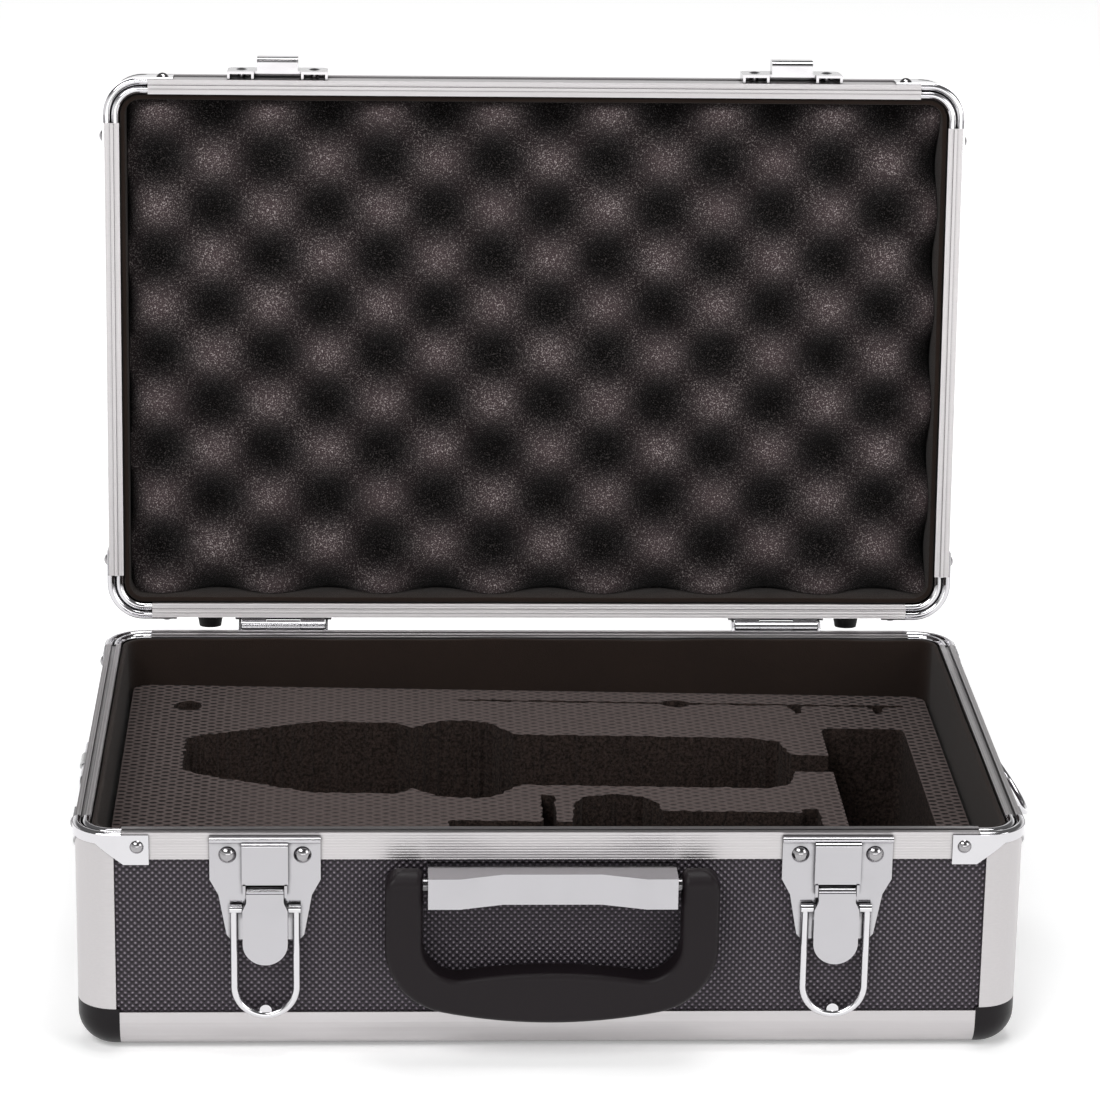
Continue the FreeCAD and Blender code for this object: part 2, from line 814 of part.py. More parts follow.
def make_rim_corners(half):
    """Chromed corners: two rounded ridges over the mating face and a thin wing along each side."""
    body = new_body(f"{half.name}_rim_corner")
    outer = post_radius + chrome
    band = [
        (wing_reach, -chrome),
        (post_radius, -chrome),
        (-chrome, post_radius, -outer),
        (-chrome, wing_reach),
        (0, wing_reach),
        (0, post_radius),
        (post_radius, 0, post_radius),
        (wing_reach, 0),
    ]
    outline = placed(band, half_width, -1, -half_depth, 1)
    height = wing_height - wing_top
    pad(body, "XY", half.below_face(wing_height), [outline], height, half.up)
    below = wing_height + 1
    waste = [
        (wing_slant_start, below),
        (wing_slant_start, wing_height),
        (wing_slant_end, corner_skirt),
        (-chrome - 1, corner_skirt),
        (-chrome - 1, below),
    ]
    middle = post_radius * (1 - math.sqrt(0.5))
    front = placed(waste, half_width, -1, half.face, -half.up)
    pocket(body, "XZ", -half_depth - chrome - 1, [front], middle + chrome + 1, 1)
    side = placed(waste, -half_depth, 1, half.face, -half.up)
    pocket(body, "YZ", half_width + chrome + 1, [side], middle + chrome + 1, -1)
    ridge = (wall + chrome) / 4
    inner = post_radius - wall
    section = [
        (inner, rim_web),
        (inner, ridge),
        (inner + ridge * 2, ridge, ridge),
        (outer, ridge, ridge),
        (outer, corner_skirt),
        (post_radius, corner_skirt),
        (post_radius, rim_web),
    ]
    section = placed(section, as_size(0), 1, half.face, -half.up)
    corner_sweep(body, section, rim_corner - post_radius)
    holes = [(half_width - corner_rivet_reach, half.below_face(corner_rivet_drop), hole_radius)]
    pocket(body, "XZ", -half_depth - chrome, [], chrome, 1, holes)
    holes = [(corner_rivet_reach - half_depth, half.below_face(corner_rivet_drop), hole_radius)]
    pocket(body, "YZ", half_width + chrome, [], chrome, -1, holes)
    return four_corners(f"{half.name}_rim_corners", body)


def make_rivet(name, head, dome, shank_length, spot, facing):
    """A domed rivet. Its head stands on the spot and faces the given turn about Z from the front."""
    body = new_body(name)
    crown = (head * head + dome * dome) / (dome * 2)
    outline = [
        (0, -shank_length),
        (rivet_shank, -shank_length),
        (rivet_shank, 0),
        (head, 0),
        (0, dome, crown),
    ]
    turned(body, "XY", 0, [(p[0], p[1], *p[2:]) for p in outline])
    upright = Rotation(Vector(0, 0, 1), facing) * Rotation(Vector(1, 0, 0), 90)
    tilt = upright * Rotation(Vector(1, 0, 0), -90)
    body.Placement = Placement(Vector(), tilt * Rotation(Vector(1, 0, 0), 180))
    for axis, value in zip("xyz", spot):
        bind(body, f"Placement.Base.{axis}", value)
    return body


# Turn about Z that makes a rivet face out of each wall
FACING = {"front": 0, "right": 90, "back": 180, "left": -90}


def wall_rivets(half, side, spots, stand, head=rivet_head, dome=rivet_dome):
    """Rivets through a plate of the given stand and the wall behind it."""
    plane, out, sense, _ = WALLS[side]
    rivets = []
    for along, drop in spots:
        level = (out + stand) * sense
        height = half.below_face(drop)
        spot = (along, level, height) if plane == "XZ" else (level, along, height)
        name = f"{half.name}_{side}_rivet"
        rivets.append(make_rivet(name, head, dome, stand + board_in, spot, FACING[side]))
    return rivets


def make_corner_rivets(half):
    rivets = []
    for side, (_, _, _, along) in WALLS.items():
        rivets += wall_rivets(half, side, corner_spots(along), chrome)
    return group(f"{half.name}_corner_rivets", rivets)


def make_lining(half):
    """Wall lining: a ring of soft sheet from the floor to just below the mating face."""
    body = new_body(f"{half.name}_lining")
    radius = post_radius - lining_out
    outlines = []
    for depth, corner in ((lining_out, radius), (lining_in, radius - lining)):
        across = half_width - depth
        deep = half_depth - depth
        outlines.append(rounded(-across, across, -deep, deep, corner))
    height = (half.face - half.outer) * half.up - lining_out - lining_drop
    pad(body, "XY", half.above_outer(lining_out), outlines, height, half.up)
    return keep(body, body.Name)


def soft_block(body, half, level, height, side_gap):
    """A block of foam that fills the inside of the lining."""
    depth = lining_in + soft_gap
    across = half_width - depth - side_gap
    deep = half_depth - depth
    corner = post_radius - depth
    outline = rounded(-across, across, -deep, deep, corner)
    return pad(body, "XY", level, [outline], height, half.up)


def make_floor_pad():
    body = new_body("foam_floor_pad")
    soft_block(body, BASE, BASE.above_outer(lining_out), floor_pad, as_size(0))
    return keep(body, body.Name)


def make_foam_insert():
    """Foam block with its pockets. Its top slopes a little down to the right."""
    body = new_body("foam_insert")
    bottom = lining_out + floor_pad + soft_gap
    top = mating - foam_high
    soft_block(body, BASE, bottom, top - bottom, foam_side_gap)
    reach = half_width
    wedge = [(-reach, top), (reach, mating - foam_low), (reach, top + 1), (-reach, top + 1)]
    pocket(body, "XZ", 0, [wedge], case_depth, 0)

    row = tool_row
    tool = [
        (tool_tip + tool_tip_round, row - tool_tip_half),
        (tool_shoulder, row - tool_half),
        (waist_place - waist_slope, row - tool_half),
        (waist_place, row - waist_half),
        (waist_place + collar_slope, row - waist_half - collar_rise),
        (collar_end - waist_slope, row - waist_half - collar_rise, collar_half * 0.6),
        (collar_end, row - shaft_half - shaft_step),
        (collar_end + shaft_step * 0.8, row - shaft_half),
        (shaft_end - shaft_round, row - shaft_half),
        (shaft_end, row - shaft_half + shaft_round, shaft_round),
        (shaft_end, row - lead_half),
        (box_left, row - lead_half),
        (box_left, row + lead_half),
        (shaft_end, row + lead_half),
        (shaft_end, row + shaft_half - shaft_round),
        (shaft_end - shaft_round, row + shaft_half, shaft_round),
        (collar_end + shaft_step * 0.8, row + shaft_half),
        (collar_end, row + shaft_half + shaft_step),
        (collar_end - waist_slope, row + waist_half + collar_rise),
        (waist_place + collar_slope, row + waist_half + collar_rise, collar_half * 0.6),
        (waist_place, row + waist_half),
        (waist_place - waist_slope, row + tool_half),
        (tool_shoulder, row + tool_half),
        (tool_tip + tool_tip_round, row + tool_tip_half),
        (tool_tip, row + tool_tip_half - tool_tip_round),
        (tool_tip, row - tool_tip_half + tool_tip_round),
    ]
    box = rounded(box_left, box_right, box_front, box_back, box_round)
    dome_reach = dome_radius
    small = [
        (small_left, small_front),
        (end_slot_right, small_front),
        (end_slot_right, end_slot_back),
        (end_slot_left, end_slot_back),
        (end_slot_left, small_right_back),
        (dome_place + dome_reach, small_right_back),
        (dome_place + dome_reach, dome_middle),
        (dome_place - dome_reach, dome_middle, dome_radius),
        (dome_place - dome_reach, small_back),
        (slot_right, small_back),
        (slot_right, slot_back),
        (slot_left, slot_back),
        (slot_left, small_back),
        (small_left, small_back),
    ]
    eye = [
        (eye_place - eye_half, slit_row, eye_radius),
        (eye_place + eye_half, slit_row, eye_radius),
    ]
    slit = rectangle(slit_left, slit_right, slit_row - slit_width / 2, slit_row + slit_width / 2)
    hole = (finger_hole_place, finger_hole_row, finger_hole)
    floor = bottom + foam_floor
    pocket(body, "XY", floor, [tool], base_height, 1)
    pocket(body, "XY", bottom, [box], base_height, 1)
    pocket(body, "XY", floor, [small], base_height, 1)
    pocket(body, "XY", mating - foam_low - slit_depth, [slit], base_height, 1)
    pocket(body, "XY", mating - foam_low - slit_depth, [eye], base_height, 1)
    pocket(body, "XY", mating - foam_high - slit_depth, [], base_height, 1, [hole])
    return keep(body, body.Name)


def make_lid_foam():
    """Egg-crate foam: blunt hills and hollows that take turns like the squares of a chess board."""
    body = new_body("lid_foam")
    thick = lid_foam_depth - hill_rise
    soft_block(body, LID, LID.above_outer(lining_out), thick, as_size(0))
    hills, hollows = [], []
    for column in range(HILL_COLUMNS):
        for row in range(HILL_ROWS):
            spot = (hill_first_x + hill_step_x * column, hill_first_y + hill_step_y * row, hill_foot)
            (hills if (column + row) % 2 else hollows).append(spot)
    middle = LID.above_outer(lining_out + thick)
    raised = pad(body, "XY", middle, [], hill_rise, LID.up, hills)
    sunk = pocket(body, "XY", middle, [], hill_rise, -LID.up, hollows)
    for feature in (raised, sunk):
        feature.TaperAngle = -HILL_SLOPE
    return keep(body, body.Name)


# Front, as distance out of the front face and drop below the mating face
def front_level(out):
    return -half_depth - out


def front_profile(points, centre):
    """An outline seen from the front, as distance right of a centre line and drop."""
    result = []
    for point in points:
        spot = [centre + point[0], mating - point[1]]
        if len(point) == 3:
            spot.append(-point[2])
        result.append(tuple(spot))
    return result


def symmetric(points):
    """Right half of an outline, given from top to bottom, with its mirror image."""
    left = []
    for point in reversed(points):
        left.append((-point[0], point[1]))
    return list(points) + left


pivot_drop = grip_drop + grip_thick / 2
pivot_out = grip_back_gap + grip_thick / 2


def make_handle_bracket():
    body = new_body("handle_bracket")
    slope_start = bracket_half - bracket_end_flat
    back = front_level(-skin)

    def shape(inset):
        far = bracket_half - inset
        return [
            (far, back),
            (far, front_level(bracket_out - inset)),
            (slope_start, front_level(bracket_out - inset)),
            (bracket_middle_half, front_level(bracket_middle_out - inset)),
            (-bracket_middle_half, front_level(bracket_middle_out - inset)),
            (-slope_start, front_level(bracket_out - inset)),
            (-far, front_level(bracket_out - inset)),
            (-far, back),
        ]

    low = mating - bracket_drop - bracket_tall
    pad(body, "XY", low, [shape(as_size(0))], bracket_tall, 1)
    cavity = bracket_tall - bracket_wall * 2
    pocket(body, "XY", low + bracket_wall, [shape(bracket_wall)], cavity, 1)
    bore = (front_level(pivot_out), mating - pivot_drop, pin_radius + pin_fit)
    pocket(body, "YZ", 0, [], case_width, 0, [bore])
    return keep(body, body.Name)


def make_handle_pins():
    body = new_body("handle_pin")
    start = bracket_half - bracket_wall - 1.5
    ring = (front_level(pivot_out), mating - pivot_drop, pin_radius)
    length = bracket_half + grip_gap + pin_reach - start
    pad(body, "YZ", start, [], length, 1, [ring])
    return group("handle_pins", [body, mirrored(body, "X")])


def make_handle_grip():
    """U-shaped grip whose arm ends are round about the pins."""
    body = new_body("handle_grip")
    inner = bracket_half + grip_gap
    corner_x = grip_half - grip_corner
    apart = grip_belly - grip_corner
    corner_drop = grip_bottom - grip_belly + root(apart * apart - corner_x * corner_x)
    join_x = corner_x * grip_belly / apart
    join_drop = grip_bottom - grip_belly + (corner_drop - grip_bottom + grip_belly) * grip_belly / apart
    inner_x = inner - grip_inner_corner
    crown_apart = (inner_x * inner_x + grip_crown * grip_crown) / (grip_crown * 2)
    crown_radius = crown_apart - grip_inner_corner
    crown_x = inner_x * crown_radius / crown_apart
    crown_share = grip_inner_corner / crown_apart
    crown_drop = grip_inner_bottom - grip_inner_corner + (crown_apart - grip_crown) * crown_share
    outline = [
        (grip_half - grip_shoulder, grip_drop),
        (grip_half, grip_drop + grip_shoulder, grip_shoulder),
        (grip_half, corner_drop),
        (join_x, join_drop, grip_corner),
        (-join_x, join_drop, grip_belly),
        (-grip_half, corner_drop, grip_corner),
        (-grip_half, grip_drop + grip_shoulder),
        (grip_shoulder - grip_half, grip_drop, grip_shoulder),
        (-inner, grip_drop),
        (-inner, grip_inner_bottom - grip_inner_corner),
        (-crown_x, crown_drop, -grip_inner_corner),
        (crown_x, crown_drop, crown_radius),
        (inner, grip_inner_bottom - grip_inner_corner, -grip_inner_corner),
        (inner, grip_drop),
    ]
    back = front_level(grip_back_gap)
    pad(body, "XZ", back, [front_profile(outline, as_size(0))], grip_thick, -1)
    centre = front_level(pivot_out)
    height = mating - pivot_drop
    half_thick = grip_thick / 2
    over = half_thick + 1
    waste = [
        (centre + half_thick, height),
        (centre + over, height),
        (centre + over, height + over),
        (centre - over, height + over),
        (centre - over, height),
        (centre - half_thick, height),
        (centre, height + half_thick, -half_thick),
    ]
    waste[0] = (*waste[0], -half_thick)
    pocket(body, "YZ", 0, [waste], case_width, 0)
    doc.recompute()
    shaped = body.Tip
    edges = []
    for number, edge in enumerate(shaped.Shape.Edges, 1):
        box = edge.BoundBox
        flat = box.YLength < 1e-6
        below = box.ZMax < height.number + 1e-6
        long_way = box.ZLength > 1e-6 or box.XLength > grip_half.number - inner.number + 1e-6
        if flat and below and long_way:
            edges.append(f"Edge{number}")
    fillet = body.newObject("PartDesign::Fillet", "handle_grip_fillet")
    fillet.Base = (shaped, edges)
    bind(fillet, "Radius", grip_fillet)
    bore = (centre, height, pin_radius + pin_fit)
    reach = pin_reach + thin_gap
    pocket(body, "YZ", inner, [], reach, 1, [bore])
    pocket(body, "YZ", -inner, [], reach, -1, [bore])
    return keep(body, body.Name)


def make_latch_plate(name, place):
    """Riveted plate with a rolled top lip, a raised bridge and two ears for the lever's pin."""
    body = new_body(name)
    outline = symmetric(
        [
            (plate_half, plate_top),
            (plate_half, plate_shoulder_top),
            (plate_waist_half, plate_shoulder_low),
            (plate_low_half, plate_end - plate_end_cut),
            (plate_end_half, plate_end),
        ]
    )
    pad(body, "XZ", front_level(0), [front_profile(outline, place)], plate_thick, -1)
    back = front_level(0)
    roll = lip_tall / 2
    lip = [
        (back, mating - plate_top),
        (front_level(lip_out - roll), mating - plate_top),
        (front_level(lip_out - roll), mating - plate_top - lip_tall, roll),
        (back, mating - plate_top - lip_tall),
    ]
    pad(body, "YZ", place, [lip], plate_half * 2, 0)
    bridge = [
        (back, mating - bridge_top),
        (front_level(bridge_out - plate_bend), mating - bridge_top),
        (front_level(bridge_out), mating - bridge_top - plate_bend, plate_bend),
        (front_level(bridge_out), mating - bridge_low),
        (back, mating - bridge_low),
    ]
    pad(body, "YZ", place, [bridge], bridge_half * 2, 0)
    hollow = symmetric(
        [
            (bridge_half - plate_thick, bridge_top + plate_thick),
            (bridge_half - plate_thick, bridge_low + 1),
        ]
    )
    depth = bridge_out - plate_thick * 2
    pocket(body, "XZ", front_level(plate_thick), [front_profile(hollow, place)], depth, -1)
    ear_in = neck_half + thin_gap * 3
    for side in (-1, 1):
        left = place + ear_in * side
        right = place + (ear_in + ear_thick) * side
        low = mating - lever_drop - ear_half_tall
        high = mating - bridge_low
        ear = rectangle(*sorted((left, right), key=lambda s: s.number), low, high)
        pad(body, "XZ", front_level(0), [ear], lever_pin_out + ear_half_tall, -1)
    bore = (front_level(lever_pin_out), mating - lever_drop, lever_pin + thin_gap / 2)
    sketch = draw(body, "YZ", place, (), [bore])
    extruded("PartDesign::Pocket", body, "YZ", sketch, (ear_in + ear_thick) * 2 + 1, 0)
    holes = [(place + latch_rivet_reach * side, mating - latch_rivet_drop, hole_radius) for side in (-1, 1)]
    pocket(body, "XZ", front_level(plate_thick), [], plate_thick, 1, holes)
    return keep(body, name)


def make_lever_pin(place):
    body = new_body("latch_lever_pin")
    ring = (front_level(lever_pin_out), mating - lever_drop, lever_pin)
    pad(body, "YZ", place, [], (neck_half + thin_gap * 3 + ear_thick) * 2, 0, [ring])
    return body


def make_lever(name, place):
    """Tongue that is pulled up to slacken the bail: knuckle, neck, rounded tongue and side flanges."""
    body = new_body(name)
    rounded_end = lever_end - lever_half
    outline = [
        (neck_half, lever_drop),
        (neck_half, lever_wide_drop - 3),
        (lever_half, lever_wide_drop),
        (lever_half, rounded_end),
        (-lever_half, rounded_end, lever_half),
        (-lever_half, lever_wide_drop),
        (-neck_half, lever_wide_drop - 3),
        (-neck_half, lever_drop),
    ]
    pad(body, "XZ", front_level(lever_out), [front_profile(outline, place)], lever_thick, -1)
    knuckle = (front_level(lever_pin_out), mating - lever_drop, knuckle_radius)
    pad(body, "YZ", place, [], neck_half * 2, 0, [knuckle])
    filler = rectangle(
        front_level(lever_out + lever_thick),
        front_level(lever_pin_out),
        mating - lever_drop - knuckle_radius,
        mating - lever_drop,
    )
    pad(body, "YZ", place, [filler], neck_half * 2, 0)
    for side in (-1, 1):
        edges = sorted(
            (place + lever_half * side, place + (lever_half - flange_thick) * side),
            key=lambda s: s.number,
        )
        low = mating - lever_wide_drop - flange_tall / 2 - 1
        flange = rectangle(*edges, low, mating - lever_wide_drop + 1)
        height = lever_out - plate_thick - soft_gap
        pad(body, "XZ", front_level(lever_out), [flange], height, 1)
    bore = (front_level(lever_pin_out), mating - lever_drop, lever_pin + thin_gap / 2)
    pocket(body, "YZ", place, [], neck_half * 2 + 1, 0, [bore])
    bore = (front_level(bail_out), mating - bail_drop, bail_pin + thin_gap / 2)
    pocket(body, "YZ", place, [], lever_half * 2 + 1, 0, [bore])
    return keep(body, name)


def make_bail(name, place):
    """Wire loop with a sleeve and an inward pin at both ends, and a small tab at its bottom."""
    body = new_body(name)
    level = front_level(bail_out)
    top = bail_drop
    middle = bail_bottom - bail_half
    path = [
        (bail_half, top),
        (bail_half, middle),
        (-bail_half, middle, bail_half),
        (-bail_half, top),
    ]
    spine = new_sketch(body, "XZ", level)
    draw_outline(spine, front_profile(path, place), False)
    ring = (place + bail_half, level, bail_wire)
    section = draw(body, "XY", mating - top, (), [ring])
    pipe = body.newObject("PartDesign::AdditivePipe", name + "_wire")
    pipe.Profile = section
    pipe.Spine = (spine, [f"Edge{i + 1}" for i in range(len(path) - 1)])
    pipe.Transition = "Round corner"
    spine.Visibility = False
    pin = (level, mating - bail_drop, bail_pin)
    reach = bail_half - lever_half + flange_thick - thin_gap
    sleeve = (level, mating - bail_drop, bail_sleeve)
    for side in (-1, 1):
        end = place + bail_sleeve_half * side
        pad(body, "YZ", end, [], bail_sleeve_half - lever_half - soft_gap, -side, [sleeve])
        pad(body, "YZ", place + bail_half * side, [], reach, -side, [pin])
    tab = (place, mating - bail_bottom + bail_tab * 0.9, bail_tab)
    pad(body, "XZ", level, [], bail_tab_thick, 0, [tab])
    return keep(body, name)


def make_keeper(place):
    """Catch on the lid: a raised tray with two feet and a hooked bridge, open towards the base."""
    body = new_body("lid_keeper")

    def outline(half, near, far):
        return rectangle(place - half, place + half, lid_mating + near, lid_mating + far)

    tray = [
        (place - keeper_half, lid_mating + keeper_near),
        (place + keeper_half, lid_mating + keeper_near),
        (place + keeper_half, lid_mating + keeper_far - keeper_round),
        (place + keeper_half - keeper_round, lid_mating + keeper_far, keeper_round),
        (place - keeper_half + keeper_round, lid_mating + keeper_far),
        (place - keeper_half, lid_mating + keeper_far - keeper_round, keeper_round),
    ]
    pad(body, "XZ", front_level(0), [tray], keeper_out, -1)
    inner = keeper_half - plate_thick
    hollow = outline(inner, keeper_near - 1, keeper_far - plate_thick - keeper_round)
    pocket(body, "XZ", front_level(0), [hollow], keeper_out - plate_thick, -1)
    slot = outline(keeper_slot_half, keeper_near - 1, keeper_bridge_near)
    pocket(body, "XZ", front_level(0), [slot], keeper_out + 1, -1)
    for side in (-1, 1):
        edges = sorted(
            (place + keeper_slot_half * side, place + (keeper_slot_half + plate_thick) * side),
            key=lambda s: s.number,
        )
        cheek = rectangle(*edges, lid_mating + keeper_near, lid_mating + keeper_far - keeper_round)
        pad(body, "XZ", front_level(0), [cheek], keeper_out, -1)
    near = lid_mating + keeper_bridge_near
    far = lid_mating + keeper_bridge_far
    bridge = [
        (front_level(keeper_out), near),
        (front_level(keeper_bridge_out - keeper_bend), near),
        (front_level(keeper_bridge_out), near + keeper_bend, -keeper_bend),
        (front_level(keeper_bridge_out), far - keeper_bend),
        (front_level(keeper_bridge_out - keeper_bend), far, -keeper_bend),
        (front_level(keeper_out), far),
    ]
    pad(body, "YZ", place, [bridge], keeper_bridge_half * 2, 0)
    hook = outline(keeper_bridge_half - plate_thick, keeper_bridge_near + plate_thick, keeper_bridge_far + 1)
    height = keeper_bridge_out - keeper_out - plate_thick
    pocket(body, "XZ", front_level(keeper_out), [hook], height, -1)
    holes = [
        (place + keeper_rivet_reach * side, lid_mating + keeper_rivet_place, hole_radius)
        for side in (-1, 1)
    ]
    pocket(body, "XZ", front_level(keeper_out), [], plate_thick, 1, holes)
    return body


def hinge_leaf(name, half, place):
    """Flat leaf on the back wall, pierced for its rivets."""
    body = new_body(name)
    low, high = sorted(
        (half.below_face(hinge_leaf_near), half.below_face(hinge_leaf_far)), key=lambda s: s.number
    )
    leaf = rectangle(place - hinge_leaf_half, place + hinge_leaf_half, low, high)
    pad(body, "XZ", half_depth, [leaf], hinge_leaf_thick, 1)
    return body


def pierce_leaf(body, half, place):
    holes = [
        (place + hinge_rivet_reach * side, half.below_face(hinge_rivet_drop), hole_radius)
        for side in (-1, 1)
    ]
    pocket(body, "XZ", half_depth + hinge_leaf_thick, [], hinge_leaf_thick, -1, holes)
    bore = (hinge_y, hinge_z, hinge_pin + thin_gap / 2)
    pocket(body, "YZ", place, [], hinge_leaf_half * 2, 0, [bore])


def knuckle(body, half, centre, length):
    """Part of the barrel and the strip that joins it to its leaf."""
    pad(body, "YZ", centre, [], length, 0, [(hinge_y, hinge_z, hinge_barrel)])
    strip = rectangle(
        half_depth + soft_gap,
        hinge_y,
        *sorted((hinge_z, half.below_face(hinge_leaf_near)), key=lambda s: s.number),
    )
    strip[1] = (half_depth + hinge_leaf_thick, strip[1][1])
    strip[2] = (half_depth + hinge_leaf_thick, strip[2][1])
    pad(body, "YZ", centre, [strip], length, 0)


def make_base_leaf(place):
    """Leaf with the middle knuckle and two gussets that the open lid's leaf rests against."""
    body = hinge_leaf("hinge_base_leaf", BASE, place)
    knuckle(body, BASE, place, hinge_middle_half * 2)
    stop = hinge_out - hinge_leaf_thick - soft_gap
    slope = cosine(lid_open)
    gusset = [
        (half_depth, hinge_z - gusset_low),
        (half_depth + hinge_leaf_thick, hinge_z - gusset_low),
        (hinge_y + gusset_out, hinge_z),
        (hinge_y + gusset_out, hinge_z + stop + slope * gusset_out),
        (hinge_y, hinge_z + stop),
        (hinge_y - stop + thin_gap, hinge_z),
        (half_depth, hinge_z - hinge_leaf_near),
    ]
    for side in (-1, 1):
        start = place + (hinge_barrel_half + soft_gap) * side
        pad(body, "YZ", start, [gusset], gusset_thick, side)
    pierce_leaf(body, BASE, place)
    return body


def make_lid_leaf(place):
    body = hinge_leaf("hinge_lid_leaf", LID, place)
    length = hinge_barrel_half - hinge_middle_half - hinge_knuckle_gap
    offset = hinge_middle_half + hinge_knuckle_gap + length / 2
    for side in (-1, 1):
        knuckle(body, LID, place + offset * side, length)
    pierce_leaf(body, LID, place)
    return body


def make_hinge_pin(place):
    body = new_body("hinge_pin")
    pad(body, "YZ", place, [], (hinge_barrel_half + soft_gap + gusset_thick) * 2, 0, [(hinge_y, hinge_z, hinge_pin)])
    return body


def make_strap_plate(name, side):
    """Plate on the side board with a barrel that the ring's bar turns in."""
    body = new_body(name)
    face = (half_width - skin) * side
    plate = rectangle(
        -strap_plate_half, strap_plate_half, mating - strap_plate_low, mating - strap_plate_top
    )
    pad(body, "YZ", face, [plate], skin, side)
    centre = (half_width + strap_out) * side
    height = mating - strap_drop
    pad(body, "XZ", 0, [], strap_barrel_half * 2, 0, [(centre, height, strap_barrel)])
    bend = sorted((face, centre), key=lambda s: s.number)
    roll = rectangle(*bend, height + ring_wire + ring_fit, height + strap_barrel)
    pad(body, "XZ", 0, [roll], strap_barrel_half * 2, 0)
    bore = (centre, height, ring_wire + ring_fit)
    pocket(body, "XZ", 0, [], case_depth, 0, [bore])
    holes = [(along, mating - drop, hole_radius) for along, drop in strap_spots]
    pocket(body, "YZ", half_width * side, [], skin, -side, holes)
    return keep(body, name)


def make_strap_ring(name, side, lean):
    """Ring drawn hanging straight down about its bar, then leaned out by the given angle."""
    body = new_body(name)
    path = [
        (0, 0),
        (ring_half - ring_corner, 0),
        (ring_half, -ring_corner, -ring_corner),
        (-ring_half, -ring_corner, -ring_half),
        (ring_corner - ring_half, 0, -ring_corner),
    ]
    spine = new_sketch(body, "YZ", 0)
    draw_outline(spine, path, True)
    section = draw(body, "XZ", 0, (), [(0, 0, ring_wire)])
    pipe = body.newObject("PartDesign::AdditivePipe", name + "_wire")
    pipe.Profile = section
    pipe.Spine = (spine, [f"Edge{i + 1}" for i in range(len(path))])
    pipe.Transition = "Round corner"
    spine.Visibility = False
    body.Placement = Placement(Vector(), Rotation(Vector(0, -side, 0), 1))
    bind(body, "Placement.Rotation.Angle", lean)
    bind(body, "Placement.Base.x", (half_width + strap_out) * side)
    bind(body, "Placement.Base.z", mating - strap_drop)
    return keep(body, name)


def make_foot(name, half, drop, stub):
    """Tapered rubber foot with a recess for its screw, on a stub that reaches in to the board."""
    body = new_body(name)
    outline = [
        (0, 0),
        (stub, 0),
        (stub, skin),
        (foot_radius, skin),
        (foot_tip_radius, foot_tall + skin),
        (rivet_head, foot_tall + skin),
        (rivet_head, foot_tall + skin - foot_recess),
        (0, foot_tall + skin - foot_recess),
    ]
    turned(body, "XZ", 0, outline)
    body.Placement = Placement(Vector(), Rotation(Vector(1, 0, 0), -90))
    bind(body, "Placement.Base.x", foot_place)
    bind(body, "Placement.Base.y", half_depth - skin)
    bind(body, "Placement.Base.z", half.below_face(drop))
    return body


def make_half(half, flat_name, edges_name):
    pieces = [make_flat_board(half, flat_name)]
    pieces += [make_wall_board(half, side) for side in WALLS]
    pieces += [make_rail(half, side) for side in WALLS]
    pieces.append(make_posts(half))
    pieces.append(make_edges(half, edges_name))
    pieces.append(make_ball_corners(half))
    pieces.append(make_rim_corners(half))
    pieces.append(make_corner_rivets(half))
    pieces.append(make_lining(half))
    drop, stub = (base_foot_drop, foot_radius - thin_gap) if half is BASE else (lid_foot_drop, foot_stub)
    foot = make_foot(f"{half.name}_foot", half, drop, stub)
    pieces.append(group(f"{half.name}_feet", [foot, mirrored(foot, "X")]))
    return pieces


make_half(BASE, "base_bottom_panel", "base_bottom_edges")
make_floor_pad()
make_foam_insert()
make_handle_bracket()
make_handle_pins()
make_handle_grip()

SIDES = {"left": -1, "right": 1}
for side_name, side_sense in SIDES.items():
    latch_centre = latch_place * side_sense
    make_latch_plate(f"latch_{side_name}_plate", latch_centre)
    make_lever(f"latch_{side_name}_lever", latch_centre)
    make_bail(f"latch_{side_name}_bail", latch_centre)
    make_strap_plate(f"strap_{side_name}_plate", side_sense)
group("latch_lever_pins", [make_lever_pin(latch_place * sense) for sense in SIDES.values()])
latch_heads = wall_rivets(BASE, "front", latch_spots, plate_thick, latch_rivet_head, latch_rivet_dome)
group("latch_rivets", latch_heads)
make_strap_ring("strap_left_ring", -1, as_size(0))
make_strap_ring("strap_right_ring", 1, ring_lean_angle)
strap_heads = wall_rivets(BASE, "left", strap_spots, as_size(0))
strap_heads += wall_rivets(BASE, "right", strap_spots, as_size(0))
group("strap_rivets", strap_heads)

group("hinge_base_leaves", [make_base_leaf(hinge_place * sense) for sense in SIDES.values()])
group("hinge_pins", [make_hinge_pin(hinge_place * sense) for sense in SIDES.values()])
group("hinge_base_rivets", wall_rivets(BASE, "back", hinge_spots, hinge_leaf_thick))

lid_pieces = make_half(LID, "lid_top_panel", "lid_top_edges")
lid_pieces.append(make_lid_foam())
lid_pieces.append(group("lid_keepers", [make_keeper(latch_place * s) for s in SIDES.values()]))
keeper_heads = wall_rivets(LID, "front", keeper_spots, keeper_out, rivet_head, keeper_rivet_dome)
lid_pieces.append(group("keeper_rivets", keeper_heads))
lid_leaves = [make_lid_leaf(hinge_place * sense) for sense in SIDES.values()]
lid_pieces.append(group("hinge_lid_leaves", lid_leaves))
leaf_heads = wall_rivets(LID, "back", hinge_spots, hinge_leaf_thick)
lid_pieces.append(group("hinge_lid_rivets", leaf_heads))
for piece in lid_pieces:
    turn_open(piece)

doc.recompute()


